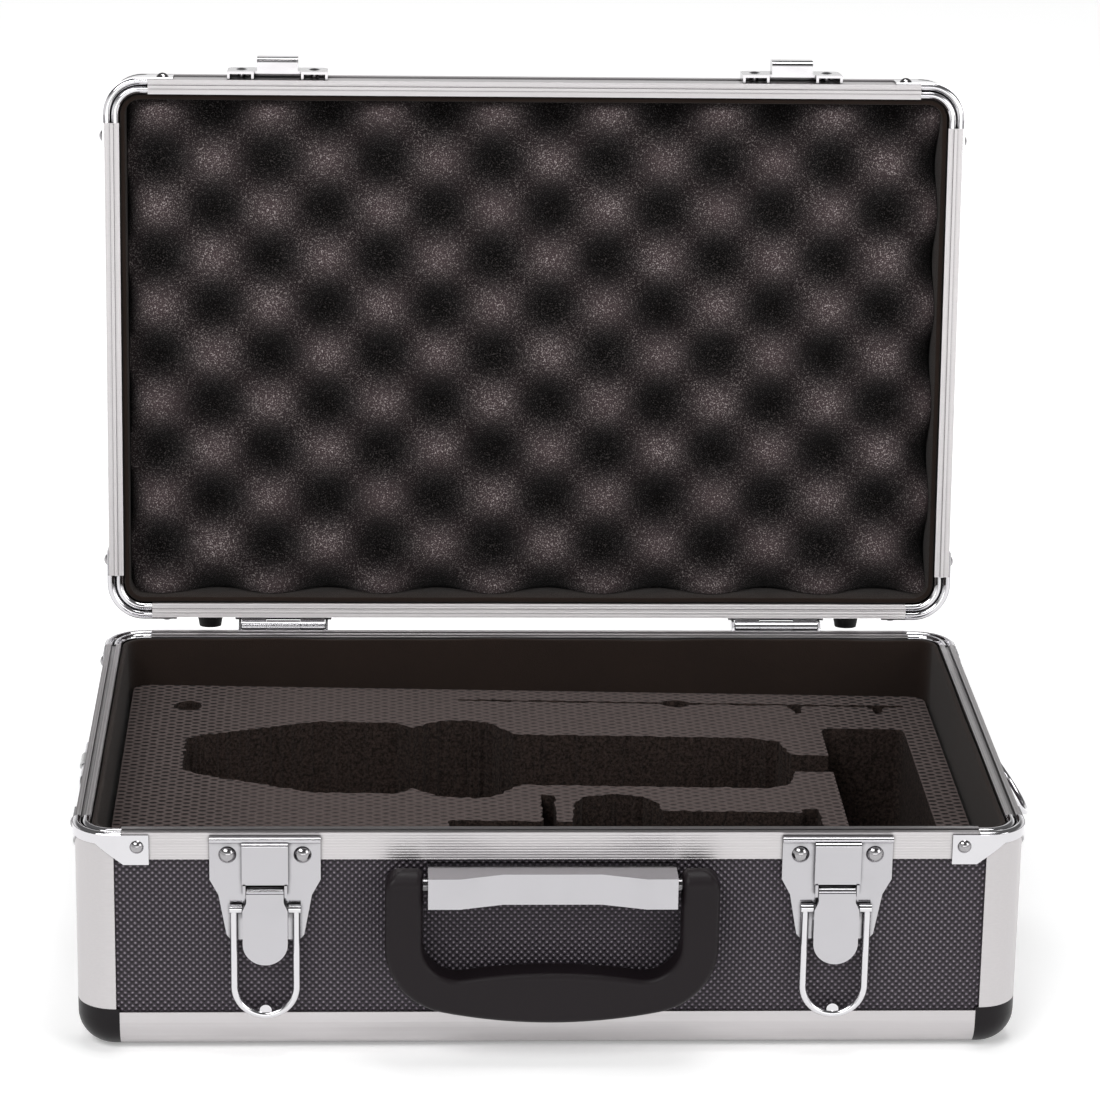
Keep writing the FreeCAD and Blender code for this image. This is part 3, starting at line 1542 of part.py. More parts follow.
def check_document():
    """Stops when any object failed or any sub-part is empty or not valid."""
    failed = [o.Name for o in doc.Objects if "Invalid" in o.State or "Error" in o.State]
    if failed:
        raise RuntimeError("failed objects: " + ", ".join(failed))
    for piece in sub_parts:
        if piece.Shape.isNull() or not piece.Shape.isValid() or not piece.Shape.Solids:
            raise RuntimeError("bad shape: " + piece.Label)


def write_parts():
    os.makedirs("parts", exist_ok=True)
    for piece in sub_parts:
        piece.Shape.exportStep(os.path.join("parts", piece.Label + ".step"))
        box = piece.Shape.BoundBox
        spans = f"{box.XLength:.1f} x {box.YLength:.1f} x {box.ZLength:.1f}"
        print(f"{piece.Label}: {len(piece.Shape.Solids)} solids, {spans} mm")


check_document()
write_parts()
print(len(sub_parts), "sub-parts")
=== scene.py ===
# %% [markdown]
# The frame comes first. It is the finished working model of the case: every board, rail,
# hinge and latch at its real size, in metres, with the lid open. The looks are built
# around it, so it is loaded before anything is added.

import json
import math

import bmesh
import bpy
import mathutils
from mathutils import Matrix, Vector


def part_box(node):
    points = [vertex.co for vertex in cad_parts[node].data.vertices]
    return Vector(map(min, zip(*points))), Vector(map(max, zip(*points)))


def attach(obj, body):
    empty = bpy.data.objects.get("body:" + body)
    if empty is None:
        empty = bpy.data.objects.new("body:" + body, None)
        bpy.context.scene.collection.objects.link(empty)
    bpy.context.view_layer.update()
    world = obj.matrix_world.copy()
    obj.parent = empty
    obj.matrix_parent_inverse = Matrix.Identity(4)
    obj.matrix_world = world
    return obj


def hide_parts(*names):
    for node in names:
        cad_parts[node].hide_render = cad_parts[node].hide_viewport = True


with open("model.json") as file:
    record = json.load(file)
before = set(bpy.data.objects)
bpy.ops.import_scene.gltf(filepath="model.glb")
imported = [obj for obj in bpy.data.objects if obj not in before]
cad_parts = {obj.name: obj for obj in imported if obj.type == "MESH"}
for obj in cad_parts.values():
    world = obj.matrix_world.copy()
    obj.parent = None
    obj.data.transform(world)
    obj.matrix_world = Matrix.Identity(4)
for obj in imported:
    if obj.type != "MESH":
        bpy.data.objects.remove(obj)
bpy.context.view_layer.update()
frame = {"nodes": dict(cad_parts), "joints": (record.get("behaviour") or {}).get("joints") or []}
nodes = frame["nodes"]
MM = 0.001

# %% [markdown]
# The lid hangs on one hinge line. Patterns on the lid have to run along its walls, which
# lean back, so the hinge and the angle that the lid stands open are read from the frame.

# %% Where the lid stands
joints = {joint["name"]: joint for joint in frame["joints"]}
hinge_line = Vector(joints["lid_hinge"]["pos_m"])
lid_angle = math.radians(joints["lid_hinge"]["range_deg"][1])
lid_turn = (
    Matrix.Translation(hinge_line)
    @ Matrix.Rotation(-lid_angle, 4, "X")
    @ Matrix.Translation(-hinge_line)
)
rail_low, rail_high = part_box("base_rim_front")
mating = rail_high.z
half_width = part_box("base_corner_posts")[1].x
half_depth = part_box("base_corner_posts")[1].y
lid_gap = 2 * (hinge_line.z - mating)
lid_mating = mating + lid_gap
print("mating face", round(mating / MM, 2), "mm, lid open", round(math.degrees(lid_angle)), "degrees")

# %% [markdown]
# A camera is a place, a direction and a lens. The case was photographed from a little
# above and left of its middle with a long lens, so its sides hardly converge. The numbers
# were found by matching the corners of the rails with their places in the photograph.

# %% Camera
CAMERA_PLACE = Vector((-64.4, -1467.0, 637.7)) * MM
CAMERA_TURN_RIGHT = 2.607
CAMERA_TILT_DOWN = 18.182
CAMERA_ROLL = 0.948
CAMERA_LENS = 134.99

camera_data = bpy.data.cameras.new("camera")
camera_data.lens = CAMERA_LENS
camera_data.sensor_width = 36
camera = bpy.data.objects.new("camera", camera_data)
bpy.context.scene.collection.objects.link(camera)
camera.matrix_world = (
    Matrix.Translation(CAMERA_PLACE)
    @ Matrix.Rotation(math.radians(-CAMERA_TURN_RIGHT), 4, "Z")
    @ Matrix.Rotation(math.radians(90 - CAMERA_TILT_DOWN), 4, "X")
    @ Matrix.Rotation(math.radians(CAMERA_ROLL), 4, "Z")
)
bpy.context.scene.camera = camera
print("camera lens", CAMERA_LENS, "mm")

# %% [markdown]
# The case stands in a white studio. A large pale floor catches a soft shadow. The room is
# bright round the horizon, where the white backdrop hangs, and dark overhead, where only
# the soft boxes shine: chrome looks like chrome when it mirrors dark beside bright.

# %% Floor and light
def add_light(name, place, target, size, power):
    data = bpy.data.lights.new(name, "AREA")
    data.shape = "RECTANGLE"
    data.size, data.size_y = size
    data.energy = power
    light = bpy.data.objects.new(name, data)
    bpy.context.scene.collection.objects.link(light)
    light.location = place
    light.rotation_euler = (Vector(target) - Vector(place)).to_track_quat("-Z", "Y").to_euler()
    return light


add_light("key", (-0.9, -1.3, 1.7), (0, 0, 0.1), (1.4, 0.9), 25)
add_light("fill", (1.4, -1.0, 0.9), (0, 0, 0.1), (0.9, 0.9), 8)
add_light("top", (0.1, 0.1, 1.9), (0, 0, 0), (1.2, 0.7), 18)
add_light("front", (0.2, -2.3, 0.24), (0, 0, 0.2), (2.2, 0.36), 5.6)

bpy.ops.mesh.primitive_plane_add(size=12, location=(0, 0, 0))
floor = bpy.context.object
floor.name = "floor"

world = bpy.data.worlds.new("studio")
bpy.context.scene.world = world
world.use_nodes = True
sky = world.node_tree.nodes
sky_links = world.node_tree.links
sky_place = sky.new("ShaderNodeTexCoord")
sky_split = sky.new("ShaderNodeSeparateXYZ")
sky_range = sky.new("ShaderNodeMapRange")
sky_range.interpolation_type = "SMOOTHSTEP"
sky_range.inputs["From Min"].default_value = 0.22
sky_range.inputs["From Max"].default_value = 0.48
sky_range.inputs["To Min"].default_value = 1.0
sky_range.inputs["To Max"].default_value = 0.14
sky_links.new(sky_place.outputs["Generated"], sky_split.inputs["Vector"])
sky_links.new(sky_split.outputs["Z"], sky_range.inputs["Value"])
sky_links.new(sky_range.outputs["Result"], sky["Background"].inputs["Color"])
sky["Background"].inputs["Strength"].default_value = 0.95
bpy.context.scene.view_settings.view_transform = "Standard"

# %% [markdown]
# A material is a small network of nodes. The helpers below keep the recipes short: one
# starts a material with its plain values, one adds a node and sets its inputs, and one
# gives the place on a piece, turned so that a pattern can be drawn in flat x and y.

# %% Helpers for materials
CORNER_SHADE_REACH = 2 * MM


def start_finish(name, colour, roughness, metallic=0.0, **more):
    finish = bpy.data.materials.new(name)
    finish.use_nodes = True
    shader = finish.node_tree.nodes["Principled BSDF"]
    shader.inputs["Base Color"].default_value = (*colour, 1)
    shader.inputs["Roughness"].default_value = roughness
    shader.inputs["Metallic"].default_value = metallic
    for socket, value in more.items():
        shader.inputs[socket.replace("_", " ")].default_value = value
    finish.diffuse_color = (*colour, 1)
    return finish, shader


def add_node(finish, kind, settings=None, **inputs):
    node = finish.node_tree.nodes.new(kind)
    for key, value in (settings or {}).items():
        setattr(node, key, value)
    for socket, value in inputs.items():
        slot = node.inputs[int(socket[1:])] if socket[0] == "i" and socket[1:].isdigit() else node.inputs[socket.replace("_", " ")]
        if isinstance(value, bpy.types.NodeSocket):
            finish.node_tree.links.new(value, slot)
        else:
            slot.default_value = value
    return node


def place_on_piece(finish, turn=(0, 0, 0), stretch=(1, 1, 1)):
    """The point on the piece, in metres, turned and stretched for a pattern."""
    spot = add_node(finish, "ShaderNodeTexCoord").outputs["Object"]
    mapping = add_node(finish, "ShaderNodeMapping", Vector=spot, Rotation=turn, Scale=stretch)
    return mapping.outputs["Vector"]


def do_math(finish, operation, first, second=0.0, third=0.0):
    node = add_node(finish, "ShaderNodeMath", {"operation": operation}, i0=first, i1=second, i2=third)
    return node.outputs["Value"]


def soft_step(finish, value, low, high, start=0.0, end=1.0):
    node = add_node(
        finish, "ShaderNodeMapRange", {"interpolation_type": "SMOOTHSTEP"},
        Value=value, From_Min=low, From_Max=high, To_Min=start, To_Max=end,
    )
    return node.outputs["Result"]


def noise(finish, place, scale, detail=3.0, roughness=0.5):
    node = add_node(finish, "ShaderNodeTexNoise", Vector=place, Scale=scale, Detail=detail, Roughness=roughness)
    return node.outputs["Fac"]


def blend_colours(finish, share, dark, light):
    node = add_node(finish, "ShaderNodeMix", {"data_type": "RGBA"})
    node.inputs[6].default_value = (*dark, 1)
    node.inputs[7].default_value = (*light, 1)
    finish.node_tree.links.new(share, node.inputs["Factor"])
    return node.outputs[2]


def bump(finish, height, distance, strength=1.0, under=None):
    node = add_node(finish, "ShaderNodeBump", Height=height, Distance=distance, Strength=strength)
    if under:
        finish.node_tree.links.new(under, node.inputs["Normal"])
    return node.outputs["Normal"]


def out_of_corner_shade(finish):
    """1 on open faces and less in the corners, for a painted shade found by ambient occlusion."""
    open_share = add_node(finish, "ShaderNodeAmbientOcclusion", {"samples": 8}, Distance=CORNER_SHADE_REACH).outputs["AO"]
    return soft_step(finish, open_share, 0.35, 0.92)


def connect(finish, shader, **inputs):
    for socket, value in inputs.items():
        finish.node_tree.links.new(value, shader.inputs[socket.replace("_", " ")])


QUARTER = math.pi / 2
WALL_TURNS = {
    "level": (0, 0, 0),
    "front": (QUARTER, 0, 0),
    "side": (0, QUARTER, 0),
}
print("helpers ready")

# %% [markdown]
# The floor is white and glows: its emission is painted light, which keeps it white and fills
# the shadows under the case, and it glows more towards the back. Its front is painted a
# little greyer, a painted shade that upright chrome mirrors.

# %% Glowing floor
table, table_shader = start_finish("light_table", (0.86, 0.86, 0.86), 0.9, Emission_Strength=0.34)
table_shader.inputs["Emission Color"].default_value = (1, 1, 1, 1)
table_place = place_on_piece(table)
table_depth = add_node(table, "ShaderNodeSeparateXYZ", Vector=table_place).outputs["Y"]
uneven = do_math(table, "MULTIPLY_ADD", noise(table, table_place, 3.0), 0.1, table_depth)
front_shade = soft_step(table, uneven, -0.7, -0.22)
table_shade = blend_colours(table, front_shade, (0.66, 0.66, 0.66), (0.86, 0.86, 0.86))
glow = soft_step(table, table_depth, -0.8, 1.2, 0.14, 0.6)
connect(table, table_shader, Base_Color=table_shade, Emission_Strength=glow)
floor.data.materials.append(table)

# %% [markdown]
# The boards are covered with black plastic sheet that is pressed into rows of small round
# dots, each row shifted by half a step. The dots are 2.6 mm apart, far too small to model,
# so they are a bump: two square grids of round hills, one shifted by half a step both ways,
# and the higher of the two wins. The tops are smoother than the ground and painted paler, a
# painted highlight. Under each dot lies a painted shadow: a nearly black spot, a copy of the
# same grid a third of a step further down.

# %% Embossed boards
DOT_STEP = 2.58 * MM
DOT_RADIUS = 0.9 * MM
# How far the painted shadow under each dot is moved down, for each kind of wall.
DOT_SHADOW_SHIFTS = {"level": (0, 0, 0), "front": (0, -0.33, 0), "side": (0.33, 0, 0)}


def dot_height(finish, place, shift):
    """Round hills on a square grid, 1 at their tops and 0 between them."""
    moved = add_node(finish, "ShaderNodeVectorMath", {"operation": "ADD"}, i0=place, i1=(shift, shift, 0)).outputs[0]
    cell = add_node(finish, "ShaderNodeVectorMath", {"operation": "FRACTION"}, i0=moved).outputs[0]
    spot = add_node(finish, "ShaderNodeVectorMath", {"operation": "SUBTRACT"}, i0=cell, i1=(0.5, 0.5, 0)).outputs[0]
    flat = add_node(finish, "ShaderNodeVectorMath", {"operation": "MULTIPLY"}, i0=spot, i1=(1, 1, 0)).outputs[0]
    length = add_node(finish, "ShaderNodeVectorMath", {"operation": "LENGTH"}, i0=flat).outputs["Value"]
    return soft_step(finish, length, 0.0, DOT_RADIUS / DOT_STEP, 1.0, 0.0)


def dot_rows(finish, place):
    return do_math(finish, "MAXIMUM", dot_height(finish, place, 0.0), dot_height(finish, place, 0.5))


def make_embossed_board(name, turn, dot_shadow_shift):
    board, shader = start_finish(name, (0.020, 0.018, 0.021), 0.3)
    grid = place_on_piece(board, turn, (1 / DOT_STEP,) * 3)
    dots = dot_rows(board, grid)
    # The ground is painted nearly black in a spot under each dot, a painted shadow, and the crowns are painted
    # paler, a painted highlight.
    lower = add_node(board, "ShaderNodeVectorMath", {"operation": "ADD"}, i0=grid, i1=dot_shadow_shift).outputs[0]
    ground = do_math(board, "MULTIPLY_ADD", dot_rows(board, lower), -0.13, 0.14)
    wear = noise(board, place_on_piece(board), 24.0, 4.0)
    crowns = do_math(board, "MULTIPLY", dots, dots)
    light = do_math(board, "MULTIPLY_ADD", crowns, 0.86, ground)
    shade = blend_colours(board, light, (0.002, 0.0014, 0.002), (0.19, 0.155, 0.195))
    rough = do_math(board, "MULTIPLY_ADD", crowns, -0.36, do_math(board, "MULTIPLY_ADD", wear, 0.12, 0.44))
    gloss = do_math(board, "MULTIPLY_ADD", crowns, 1.0, 0.22)
    connect(board, shader, Base_Color=shade, Roughness=rough, Specular_IOR_Level=gloss,
            Normal=bump(board, dots, 0.5 * MM))
    return board


lid_turn_back = (lid_angle, 0, 0)


def lid_pattern_turn(turn):
    """The same pattern turn for a wall of the open lid."""
    closed = Matrix.Rotation(lid_angle, 4, "X")
    wall = Matrix.Rotation(turn[1], 4, "Y") @ Matrix.Rotation(turn[0], 4, "X")
    return (wall @ closed).to_euler()


board_finishes = {}
for wall, turn in WALL_TURNS.items():
    shift = DOT_SHADOW_SHIFTS[wall]
    board_finishes["base", wall] = make_embossed_board(f"embossed_board_{wall}", turn, shift)
    board_finishes["lid", wall] = make_embossed_board(f"embossed_board_lid_{wall}", lid_pattern_turn(turn), shift)
print("board finishes", len(board_finishes))

# %% [markdown]
# The rails are drawn aluminium. The die leaves fine ribs and scratches that run along the
# rail, so the pattern is stretched along the length: a wave across the rail for the ribs,
# and long thin noise for the draw marks. Rails lie in three directions, so the recipe takes
# the turn that lays each rail along x.

# %% Drawn aluminium
RIB_STEP = 1.05 * MM
RAIL_COLOUR = (0.525, 0.505, 0.51)
# The rail by the hinges gets a lighter copy of the rail colour: painted light.
HINGE_RAIL_PAINTED_LIGHTER = (0.74, 0.715, 0.72)


def make_drawn_aluminium(name, turn, ribs, colour=RAIL_COLOUR, rough=0.34):
    metal, shader = start_finish(name, colour, rough, 1.0)
    along = place_on_piece(metal, turn)
    marks = noise(metal, place_on_piece(metal, turn, (6, 1600, 1600)), 1.0, 3.0, 0.6)
    cloud = noise(metal, along, 14.0, 3.0)
    split = add_node(metal, "ShaderNodeSeparateXYZ", Vector=along)
    across = do_math(metal, "ADD", split.outputs["Y"], split.outputs["Z"])
    wave = do_math(metal, "SINE", do_math(metal, "MULTIPLY", across, 2 * math.pi / RIB_STEP))
    height = do_math(metal, "MULTIPLY_ADD", wave, ribs, do_math(metal, "MULTIPLY", marks, 0.6))
    streaks = do_math(metal, "MULTIPLY_ADD", marks, 0.16, do_math(metal, "MULTIPLY_ADD", cloud, 0.10, 0.84))
    # Draw marks and clouds vary the colour, and the corners are painted darker, a painted shade.
    marks_and_corner_shade = do_math(metal, "MULTIPLY", streaks, out_of_corner_shade(metal))
    shade = blend_colours(metal, marks_and_corner_shade, tuple(c * 0.2 for c in colour), tuple(c * 1.05 for c in colour))
    roughness = do_math(metal, "MULTIPLY_ADD", marks, 0.16, rough - 0.06)
    connect(metal, shader, Base_Color=shade, Roughness=roughness, Normal=bump(metal, height, 0.05 * MM))
    return metal


RUN_ALONG_Y = (0, 0, -QUARTER)
RUN_UP = (0, QUARTER, 0)
lid_along_x = lid_pattern_turn((0, 0, 0))
lid_along_y = (Matrix.Rotation(-QUARTER, 4, "Z") @ Matrix.Rotation(lid_angle, 4, "X")).to_euler()
lid_along_z = (Matrix.Rotation(QUARTER, 4, "Y") @ Matrix.Rotation(lid_angle, 4, "X")).to_euler()
rail_finishes = {
    "base_rim_front": make_drawn_aluminium("drawn_rail_x", (0, 0, 0), 0.5),
    "base_rim_left": make_drawn_aluminium("drawn_rail_y", RUN_ALONG_Y, 0.5),
    "lid_rim_front": make_drawn_aluminium("drawn_rail_lid_x", lid_along_x, 0.25),
    "lid_rim_back": make_drawn_aluminium("drawn_rail_hinges", lid_along_x, 0.25, HINGE_RAIL_PAINTED_LIGHTER, 0.42),
    "lid_rim_left": make_drawn_aluminium("drawn_rail_lid_y", lid_along_y, 0.25),
    "base_corner_posts": make_drawn_aluminium("drawn_post", RUN_UP, 0.0),
    "lid_corner_posts": make_drawn_aluminium("drawn_post_lid", lid_along_z, 0.0),
    "base_bottom_edges": make_drawn_aluminium("drawn_edge", (0, 0, 0), 0.0),
    "lid_top_edges": make_drawn_aluminium("drawn_edge_lid", lid_along_x, 0.0),
}
for rail, twin in (("base_rim_back", "base_rim_front"), ("base_rim_right", "base_rim_left"),
                   ("lid_rim_right", "lid_rim_left")):
    rail_finishes[rail] = rail_finishes[twin]
print("rail finishes", len(rail_finishes))

# %% [markdown]
# The small hardware is stamped steel with bright chrome on it. Chrome is nearly a mirror;
# what makes it look pressed rather than perfect is a very shallow, slow waviness and a
# faint haze of finger marks in the roughness. Where pieces meet, ambient occlusion finds the
# corners, and both the chrome and the rails are painted darker there: a painted shade.

# %% Chrome and plated steel
def make_plating(name, colour, rough, haze, wave):
    metal, shader = start_finish(name, colour, rough, 1.0)
    place = place_on_piece(metal)
    smear = noise(metal, place, 60.0, 5.0, 0.6)
    slow = noise(metal, place, 130.0, 1.0)
    roughness = do_math(metal, "MULTIPLY_ADD", smear, haze, rough)
    # Finger marks vary the colour, and the corners are painted darker, a painted shade.
    marks_and_corner_shade = do_math(metal, "MULTIPLY", out_of_corner_shade(metal), do_math(metal, "MULTIPLY_ADD", smear, 0.2, 0.9))
    shade = blend_colours(metal, marks_and_corner_shade, tuple(c * 0.12 for c in colour), colour)
    connect(metal, shader, Base_Color=shade, Roughness=roughness, Normal=bump(metal, slow, wave * MM))
    return metal


chrome = make_plating("chrome", (0.66, 0.65, 0.67), 0.05, 0.10, 0.10)
satin_chrome = make_plating("satin_chrome", (0.50, 0.49, 0.51), 0.12, 0.14, 0.06)
# Rivets, pins and keepers get a copy of the chrome painted darker: a painted shade for the dark they mirror.
shaded_chrome = make_plating("nickel_plate", (0.36, 0.35, 0.36), 0.08, 0.10, 0.05)
zinc = make_plating("zinc_plate", (0.60, 0.60, 0.60), 0.24, 0.2, 0.08)
print("plating", chrome.name, satin_chrome.name, shaded_chrome.name, zinc.name)

# %% [markdown]
# Grip and ball corners are black moulded plastic with a fine spark-eroded grain: a dense,
# shallow noise, with slightly shinier patches where the mould was worn.

# %% Moulded plastic and rubber
def make_moulding(name, colour, rough, grain):
    plastic, shader = start_finish(name, colour, rough, Specular_IOR_Level=0.18)
    place = place_on_piece(plastic)
    fine = noise(plastic, place, 2600.0, 2.0, 0.6)
    patches = noise(plastic, place, 40.0, 3.0)
    roughness = do_math(plastic, "MULTIPLY_ADD", patches, 0.14, rough - 0.07)
    shade = blend_colours(plastic, patches, tuple(c * 0.85 for c in colour), tuple(c * 1.2 for c in colour))
    connect(plastic, shader, Base_Color=shade, Roughness=roughness, Normal=bump(plastic, fine, grain * MM))
    return plastic


grip_plastic = make_moulding("grip_plastic", (0.0075, 0.005, 0.0062), 0.44, 0.05)
corner_plastic = make_moulding("corner_plastic", (0.006, 0.0045, 0.0055), 0.36, 0.03)
foot_rubber = make_moulding("foot_rubber", (0.010, 0.010, 0.010), 0.62, 0.04)

# %% [markdown]
# The walls inside are lined with thin brown-black felt. Felt is matted short fibre: a
# cloudy colour, a very fine rough bump, high roughness and a little sheen at grazing angles.

# %% Felt and foams
def make_felt():
    felt, shader = start_finish("lining_felt", (0.030, 0.025, 0.022), 0.95, Sheen_Weight=0.08, Sheen_Roughness=0.6)
    shader.inputs["Specular IOR Level"].default_value = 0.05
    place = place_on_piece(felt)
    fibre = noise(felt, place, 1900.0, 4.0, 0.7)
    cloud = noise(felt, place, 30.0, 4.0, 0.6)
    share = do_math(felt, "MULTIPLY_ADD", fibre, 0.6, do_math(felt, "MULTIPLY", cloud, 0.4))
    shade = blend_colours(felt, share, (0.004, 0.0024, 0.0018), (0.025, 0.0145, 0.0105))
    connect(felt, shader, Base_Color=shade, Normal=bump(felt, fibre, 0.35 * MM))
    return felt


lining_felt = make_felt()

# %% [markdown]
# The foam block is stretched netting foam: its top has columns of small pits, each column
# shifted by half a pit. The pits gape near both ends of the block and are nearly shut in
# the middle. Cut faces show torn cells instead, so the recipe reads which way a face points
# and mixes the two.

# %% Cut foam
PIT_COLUMN = 3.1 * MM
PIT_ROW = 3.7 * MM
FOAM_TOP_LEFT = mating - 20.5 * MM
FOAM_TOP_RIGHT = mating - 25.5 * MM


def make_cut_foam():
    foam, shader = start_finish("cut_foam", (0.065, 0.058, 0.058), 0.88, Specular_IOR_Level=0.06)
    shader.inputs["Sheen Weight"].default_value = 0.04
    place = place_on_piece(foam)
    split = add_node(foam, "ShaderNodeSeparateXYZ", Vector=place)
    columns = do_math(foam, "COSINE", do_math(foam, "MULTIPLY", split.outputs["X"], math.pi / PIT_COLUMN))
    rows = do_math(foam, "COSINE", do_math(foam, "MULTIPLY", split.outputs["Y"], 2 * math.pi / PIT_ROW))
    wobble = noise(foam, place, 260.0, 3.0, 0.6)
    lattice = do_math(foam, "MULTIPLY_ADD", columns, rows, do_math(foam, "MULTIPLY_ADD", wobble, 0.9, -0.45))
    pits = soft_step(foam, lattice, -0.1, 0.75)
    from_middle = do_math(foam, "ABSOLUTE", split.outputs["X"])
    stretched = soft_step(foam, from_middle, 84 * MM, 138 * MM, 0.35, 1.0)
    open_pits = do_math(foam, "MULTIPLY", pits, stretched)
    cells = noise(foam, place, 1500.0, 3.0, 0.65)
    lumps = noise(foam, place, 880.0, 4.0, 0.7)
    facing = add_node(foam, "ShaderNodeNewGeometry").outputs["True Normal"]
    upward = soft_step(foam, add_node(foam, "ShaderNodeSeparateXYZ", Vector=facing).outputs["Z"], 0.7, 0.95)
    high = soft_step(foam, split.outputs["Z"], FOAM_TOP_RIGHT - 4 * MM, FOAM_TOP_RIGHT - 1 * MM)
    top = do_math(foam, "MULTIPLY", upward, high)
    rows_of_netting = do_math(foam, "MULTIPLY_ADD", lattice, -0.45, do_math(foam, "MULTIPLY", lumps, 0.9))
    pressed = do_math(foam, "SUBTRACT", do_math(foam, "MULTIPLY_ADD", cells, 0.4, rows_of_netting), open_pits)
    torn = do_math(foam, "MULTIPLY_ADD", lumps, 2.4, cells)
    height = add_node(foam, "ShaderNodeMix", {"data_type": "FLOAT"})
    foam.node_tree.links.new(top, height.inputs["Factor"])
    foam.node_tree.links.new(torn, height.inputs[2])
    foam.node_tree.links.new(pressed, height.inputs[3])
    # The skin's colour is mottled by the grain and painted darker in the pits, a painted shade, most where they
    # gape.
    grain_and_pit_shade = do_math(foam, "MULTIPLY_ADD", lumps, -0.9, do_math(foam, "MULTIPLY_ADD", lattice, 0.75, 0.42))
    skin = blend_colours(foam, do_math(foam, "MAXIMUM", open_pits, grain_and_pit_shade),
                         (0.098, 0.076, 0.072), (0.009, 0.0065, 0.006))
    cut = blend_colours(foam, soft_step(foam, lumps, 0.34, 0.68), (0.011, 0.0075, 0.006), (0.068, 0.046, 0.039))
    shade = add_node(foam, "ShaderNodeMix", {"data_type": "RGBA"})
    foam.node_tree.links.new(top, shade.inputs["Factor"])
    foam.node_tree.links.new(cut, shade.inputs[6])
    foam.node_tree.links.new(skin, shade.inputs[7])
    connect(foam, shader, Base_Color=shade.outputs[2], Normal=bump(foam, height.outputs[0], 0.8 * MM))
    return foam


cut_foam = make_cut_foam()

# %% [markdown]
# Egg-crate foam is open-cell foam. Close up it is a black net whose threads glint; the glints
# are painted as pale grains on dark cloth. The grains come from a very fine noise of which
# only the highest values are kept, thicker on some patches than on others and brighter on
# the hills. The hills are painted lighter and the hollows darker: painted light and shade.

# %% Open-cell foam
def make_egg_foam():
    foam, shader = start_finish("egg_crate_foam", (0.03, 0.028, 0.028), 0.9, Specular_IOR_Level=0.06)
    hollow = add_node(foam, "ShaderNodeAttribute", {"attribute_name": "hollow"}).outputs["Fac"]
    shader.inputs["Sheen Weight"].default_value = 0.05
    place = place_on_piece(foam)
    cells = noise(foam, place, 1700.0, 3.0, 0.75)
    patches = noise(foam, place, 55.0, 2.0)
    lifted = do_math(foam, "MULTIPLY_ADD", patches, 0.08, cells)
    # The hills are painted lighter and the hollows darker from the stored depth, painted light and shade; the pale
    # grains are painted glints, brighter on the hills.
    lit = do_math(foam, "POWER", do_math(foam, "SUBTRACT", 1.0, hollow), 2.0)
    grains = do_math(foam, "MULTIPLY", soft_step(foam, lifted, 0.56, 0.74), do_math(foam, "MULTIPLY_ADD", lit, 0.85, 0.13))
    ground = blend_colours(foam, lit, (0.0018, 0.0012, 0.0012), (0.064, 0.046, 0.048))
    shade = add_node(foam, "ShaderNodeMix", {"data_type": "RGBA"})
    shade.inputs[7].default_value = (0.60, 0.53, 0.52, 1)
    foam.node_tree.links.new(grains, shade.inputs["Factor"])
    foam.node_tree.links.new(ground, shade.inputs[6])
    shade = shade.outputs[2]
    connect(foam, shader, Base_Color=shade, Normal=bump(foam, cells, 0.8 * MM))
    return foam


egg_foam = make_egg_foam()
print("soft finishes", lining_felt.name, cut_foam.name, egg_foam.name)

# %% [markdown]
# Each piece of the frame keeps its shape and gets its finish through its own material
# slots. The list says which finish goes on which pieces.

# %% Dress the frame
def dress(node, finish):
    mesh = nodes[node].data
    mesh.materials.clear()
    mesh.materials.append(finish)


for half, flat in (("base", "bottom"), ("lid", "top")):
    dress(f"{half}_{flat}_panel", board_finishes[half, "level"])
    for side, wall in (("front", "front"), ("back", "front"), ("left", "side"), ("right", "side")):
        dress(f"{half}_{side}_panel", board_finishes[half, wall])
    dress(f"{half}_ball_corners", corner_plastic)
    dress(f"{half}_rim_corners", chrome)
    dress(f"{half}_corner_rivets", shaded_chrome)
    dress(f"{half}_feet", foot_rubber)
    dress(f"hinge_{half}_leaves", satin_chrome)
    dress(f"hinge_{half}_rivets", shaded_chrome)
for node, finish in rail_finishes.items():
    dress(node, finish)
for side in ("left", "right"):
    dress(f"latch_{side}_plate", satin_chrome)
    dress(f"latch_{side}_lever", satin_chrome)
    dress(f"latch_{side}_bail", chrome)
    dress(f"strap_{side}_plate", zinc)
    dress(f"strap_{side}_ring", chrome)
for node in ("latch_rivets", "latch_lever_pins", "keeper_rivets", "strap_rivets", "hinge_pins", "handle_pins", "lid_keepers"):
    dress(node, shaded_chrome)
dress("handle_bracket", satin_chrome)
dress("handle_grip", grip_plastic)
print("dressed", sum(1 for o in nodes.values() if o.data.materials and o.data.materials[0].use_nodes), "pieces")

# %% [markdown]
# Modelling works on what is selected, so everything is deselected before a primitive is
# added. These helpers enter edit mode, pick vertices, edges or faces by their place, and
# finish a piece: finish, body and the frame pieces it replaces.

# %% Helpers for modelling
def only(piece):
    bpy.ops.object.select_all(action="DESELECT")
    piece.select_set(True)
    bpy.context.view_layer.objects.active = piece


def edit(piece, mode="VERT"):
    only(piece)
    bpy.ops.object.mode_set(mode="EDIT")
    bpy.ops.mesh.select_mode(type=mode)


def done():
    bpy.ops.object.mode_set(mode="OBJECT")


def pick(piece, kind, wanted):
    """Selects the vertices, edges or faces for which wanted(element) holds."""
    mesh = bmesh.from_edit_mesh(piece.data)
    for element in list(mesh.faces) + list(mesh.edges) + list(mesh.verts):
        element.select = False
    found = [element for element in getattr(mesh, kind) if wanted(element)]
    for element in found:
        element.select_set(True)
    mesh.select_flush_mode()
    bmesh.update_edit_mesh(piece.data)
    return len(found)


